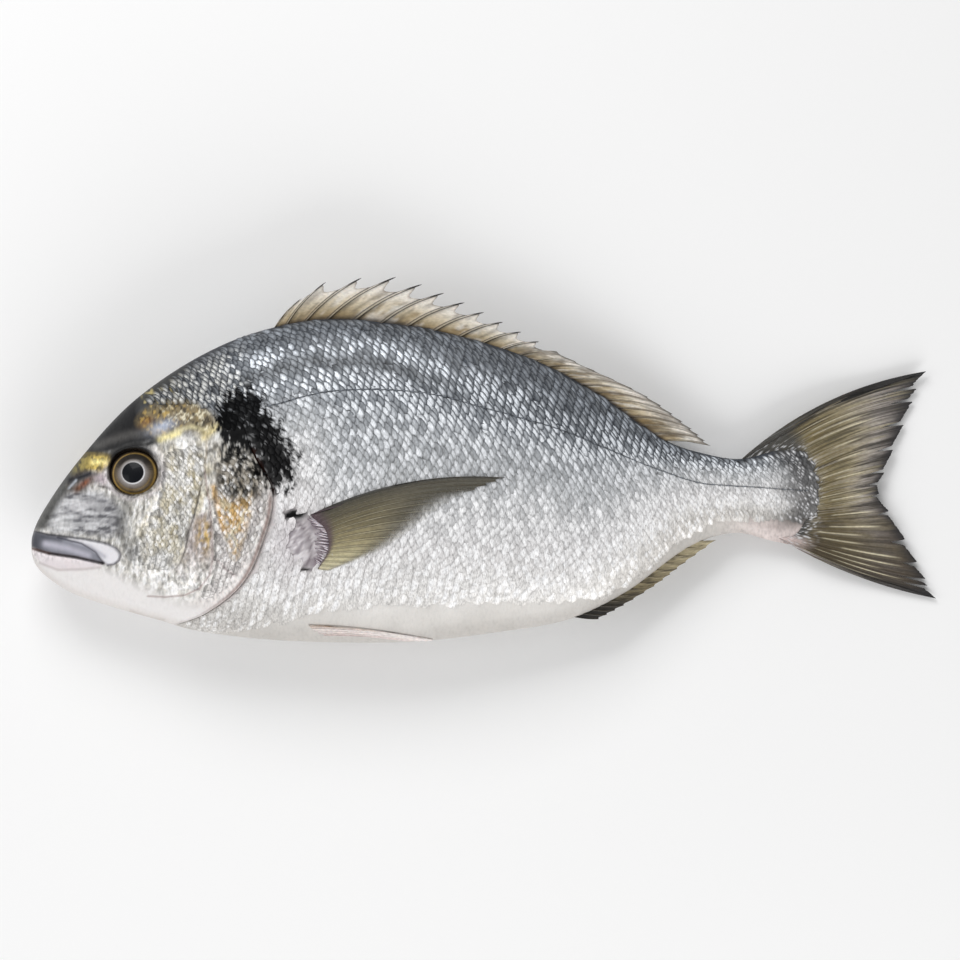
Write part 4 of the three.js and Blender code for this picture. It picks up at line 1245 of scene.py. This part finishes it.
def add_fin_root(side, finish):
    """The pale ribs of skin over the root of the pectoral fin."""
    rng = np.random.default_rng(72)
    count, rows, around = 24, 12, 8
    corners, faces, colours = [], [], []
    skin = light((120, 104, 114))
    arc = spline([(94.4, -9.8), (98.4, -13.4), (99.2, -19.5), (96.4, -25.2)])
    for i in range(count):
        s = (i + rng.uniform(-0.25, 0.25)) / (count - 1)
        root = arc(np.array([s]))[0]
        heading = math.radians(158 - 14 * s + 16 * math.sin(math.pi * s) + rng.normal(0, 6))
        length = (3.4 + 2.2 * math.sin(math.pi * np.clip(s, 0, 1))) * rng.uniform(0.5, 1.05)
        t = np.linspace(0, 1, rows)[:, None]
        turn = np.linspace(0, 2 * np.pi, around, endpoint=False)[None, :]
        radius = 0.22 * np.sin(np.pi * (0.1 + 0.8 * t)) ** 0.6
        x = root[0] + math.cos(heading) * t * length - math.sin(heading) * radius * np.cos(turn)
        y = root[1] + math.sin(heading) * t * length + math.cos(heading) * radius * np.cos(turn)
        rise = 0.2 + radius * np.sin(turn)
        points, quads = loft(flank(x, y, side, trunk_relief) + outward(x, y, side) * rise[..., None])
        shift = sum(len(c) for c in corners)
        faces += [[c + shift for c in face] for face in outside_first(points, quads)]
        corners.append(points)
        p = Paint(x, y, skin * np.ones(x.shape + (1,)))
        p.over((226, 218, 224), rng.uniform(0.5, 1) * np.sin(np.pi * np.clip(t * 1.05, 0, 1)) + 0 * x)
        colours.append(capped(with_channel(p.tints, 0.1)))
    corners, colours = np.concatenate(corners), np.concatenate(colours)
    add_piece(sided("fin_root", side), corners, faces, colours, finish)


# Eyes
def eye_tint(u, v, angle):
    """The iris, its rings and the pupil, painted by their distance from the iris's middle, with the upper
    half of the iris darkened as painted shade of the brow.
    """
    iris_u, iris_v = u - 0.25, v + 0.55
    ring = np.hypot(iris_u / 8.2, iris_v / 7.7)
    streak = noise(np.cos(angle) * 9, np.sin(angle) * 9, 0.8, 71)
    up = iris_v / np.maximum(np.hypot(iris_u, iris_v), 0.1)
    right = iris_u / np.maximum(np.hypot(iris_u, iris_v), 0.1)
    p = Paint(u, v, ramp(ring, [(0.48, (148, 144, 142)), (0.6, (124, 117, 112)), (0.72, (92, 82, 70)),
                                (0.84, (84, 70, 46)), (0.95, (56, 45, 33)), (1.02, (20, 17, 16))]))
    p.over((52, 44, 36), 0.6 * smooth(streak, 0, 0.7) * smooth(ring, 0.55, 0.75))
    p.over((190, 156, 84), 0.9 * bump(ring, 0.87, 0.035) * (0.75 + 0.25 * streak - 0.25 * up))
    p.over((140, 114, 66), 0.5 * bump(ring, 0.72, 0.03) * smooth(up, 0.2, -0.6))
    # Painted shade of the brow on the upper half of the iris.
    p.over((24, 20, 17), 0.92 * smooth(up, 0, 0.7) * smooth(ring, 0.52, 0.64) * smooth(ring, 0.9, 0.8))
    p.over((20, 17, 16), smooth(ring, 0.93, 0.99) * smooth(right - up, -0.6, 0.2))
    p.over((220, 220, 222), bump(ring, 0.475, 0.026) * (0.65 + 0.3 * right - 0.35 * up))
    p.over((7, 10, 16), smooth(ring, 0.46, 0.43))
    return p.tints


def add_eye(side, finish):
    """A wet dome that faces as the flank does."""
    reach = np.concatenate([np.linspace(0.004, 1, 90), [0.97, 0.8]])
    turn = np.linspace(0, 2 * np.pi, 120, endpoint=False)
    r, angle = np.meshgrid(reach, turn, indexing="ij")
    dome = np.sqrt(np.maximum(1 - r ** 2, 0))
    dome[-2] = -0.35
    dome[-1] = -0.5
    u, v = r * np.cos(angle) * EYE_RADII[0], r * np.sin(angle) * EYE_RADII[1]
    at = flank(np.array([EYE[0]]), np.array([EYE[1]]), side)[0]
    facing = outward(np.array([EYE[0]]), np.array([EYE[1]]), side)[0]
    turn_to = Vector((0, 0, side)).rotation_difference(Vector(facing)).to_matrix()
    local = np.stack([u, v, side * dome * EYE_RADII[2]], -1)
    points = local @ np.array(turn_to).T + at - facing * EYE_SUNK
    colours = capped(with_channel(eye_tint(u, v, angle), 0))
    corners, faces = loft(points)
    faces = outside_first(corners, faces)
    name = ("left" if side > 0 else "right") + "_eye_dome"
    add_piece(name, corners, faces, colours, finish, sided("eye", side))


# The table, the lights and the camera
def add_table():
    half, z = 3.0, -0.0004
    mesh = bpy.data.meshes.new("table")
    corners = [(-half, -half, z), (half, -half, z), (half, half, z), (-half, half, z)]
    mesh.from_pydata(corners, [], [(0, 1, 2, 3)])
    white = bpy.data.materials.new("white_table")
    white.use_nodes = True
    shader = white.node_tree.nodes["Principled BSDF"]
    fill(white.node_tree, shader, {"Base Color": (0.95, 0.95, 0.95, 1), "Roughness": 0.8})
    mesh.materials.append(white)
    table = bpy.data.objects.new("table", mesh)
    bpy.context.scene.collection.objects.link(table)


def add_light(name, position, size, power):
    data = bpy.data.lights.new(name, "AREA")
    data.shape = "RECTANGLE"
    data.size, data.size_y = size
    data.energy = power
    lamp = bpy.data.objects.new(name, data)
    lamp.location = position
    lamp.rotation_euler = (-Vector(position)).to_track_quat("-Z", "Y").to_euler()
    bpy.context.scene.collection.objects.link(lamp)


def add_lights():
    add_light("key", (-0.35, 0.85, 0.8), (0.8, 0.6), 7.5)
    add_light("fill", (0.3, -1.0, 0.5), (1.0, 0.6), 7.0)
    add_light("side", (-0.9, -0.1, 0.5), (0.4, 0.8), 1.8)
    world = bpy.data.worlds.new("studio")
    world.use_nodes = True
    fill(world.node_tree, world.node_tree.nodes["Background"], {"Color": (1, 1, 1, 1), "Strength": 0.4})
    bpy.context.scene.world = world


def add_camera():
    """Straight above the fish, through a long lens, framed as the photograph is."""
    lens, sensor = 900, 36
    centre_x = (PICTURE / 2 - SNOUT_PIXEL[0]) * MM_PER_PIXEL
    centre_y = (SNOUT_PIXEL[1] - PICTURE / 2) * MM_PER_PIXEL
    distance = PICTURE * MM_PER_PIXEL * lens / sensor
    data = bpy.data.cameras.new("camera")
    data.lens = lens
    data.sensor_width = sensor
    data.clip_end = 20
    camera = bpy.data.objects.new("camera", data)
    camera.location = (np.array([centre_x, centre_y, distance]) + ORIGIN) / 1000
    bpy.context.scene.collection.objects.link(camera)
    bpy.context.scene.camera = camera


def build():
    skin = material("wet_skin", 0.42, 0.06, (0.0009, 0.0019, 0.002), 0.6, 0.00012, "Flecks", 0.3, 0.04, 0.1)
    scale = material("silver_scale", 0.36, 0.03, (0.0004, 0.0011, 0.001), 0.26, 0.00008, "Specular IOR Level",
                     metal=0.15)
    web = material("fin_web", 0.5, 0.1, (0.0012, 0.0006, 0.001), 0.14, 0.00006, "Alpha", 0.3, 0.1)
    root = material("fin_root_skin", 0.4, 0.2, (0.0006, 0.0006, 0.0006), 0.15, 0.00004, None, 0.3, 0.1)
    eye = material("wet_eye", 0.4, 0.12, (0.0004, 0.0004, 0.0004), 0.1, 0.000005, None, 0.12)
    add_head(skin)
    add_trunk(skin)
    for side in (1, -1):
        add_scales("trunk_scales", side, scale, scaled_trunk, trunk_scale_paint, trunk_relief, **TRUNK_PLATES)
        add_scales("head_scales", side, scale, scaled_head, head_scale_paint, head_relief, **HEAD_PLATES)
        add_side_line(side, scale)
        add_pectoral(side, web)
        add_fin_root(side, root)
        add_pelvic(side, web)
        add_eye(side, eye)
    add_dorsal(web)
    add_tail(web)
    add_anal(web)


build()
add_table()
add_lights()
add_camera()
bpy.context.scene.view_settings.view_transform = "Standard"
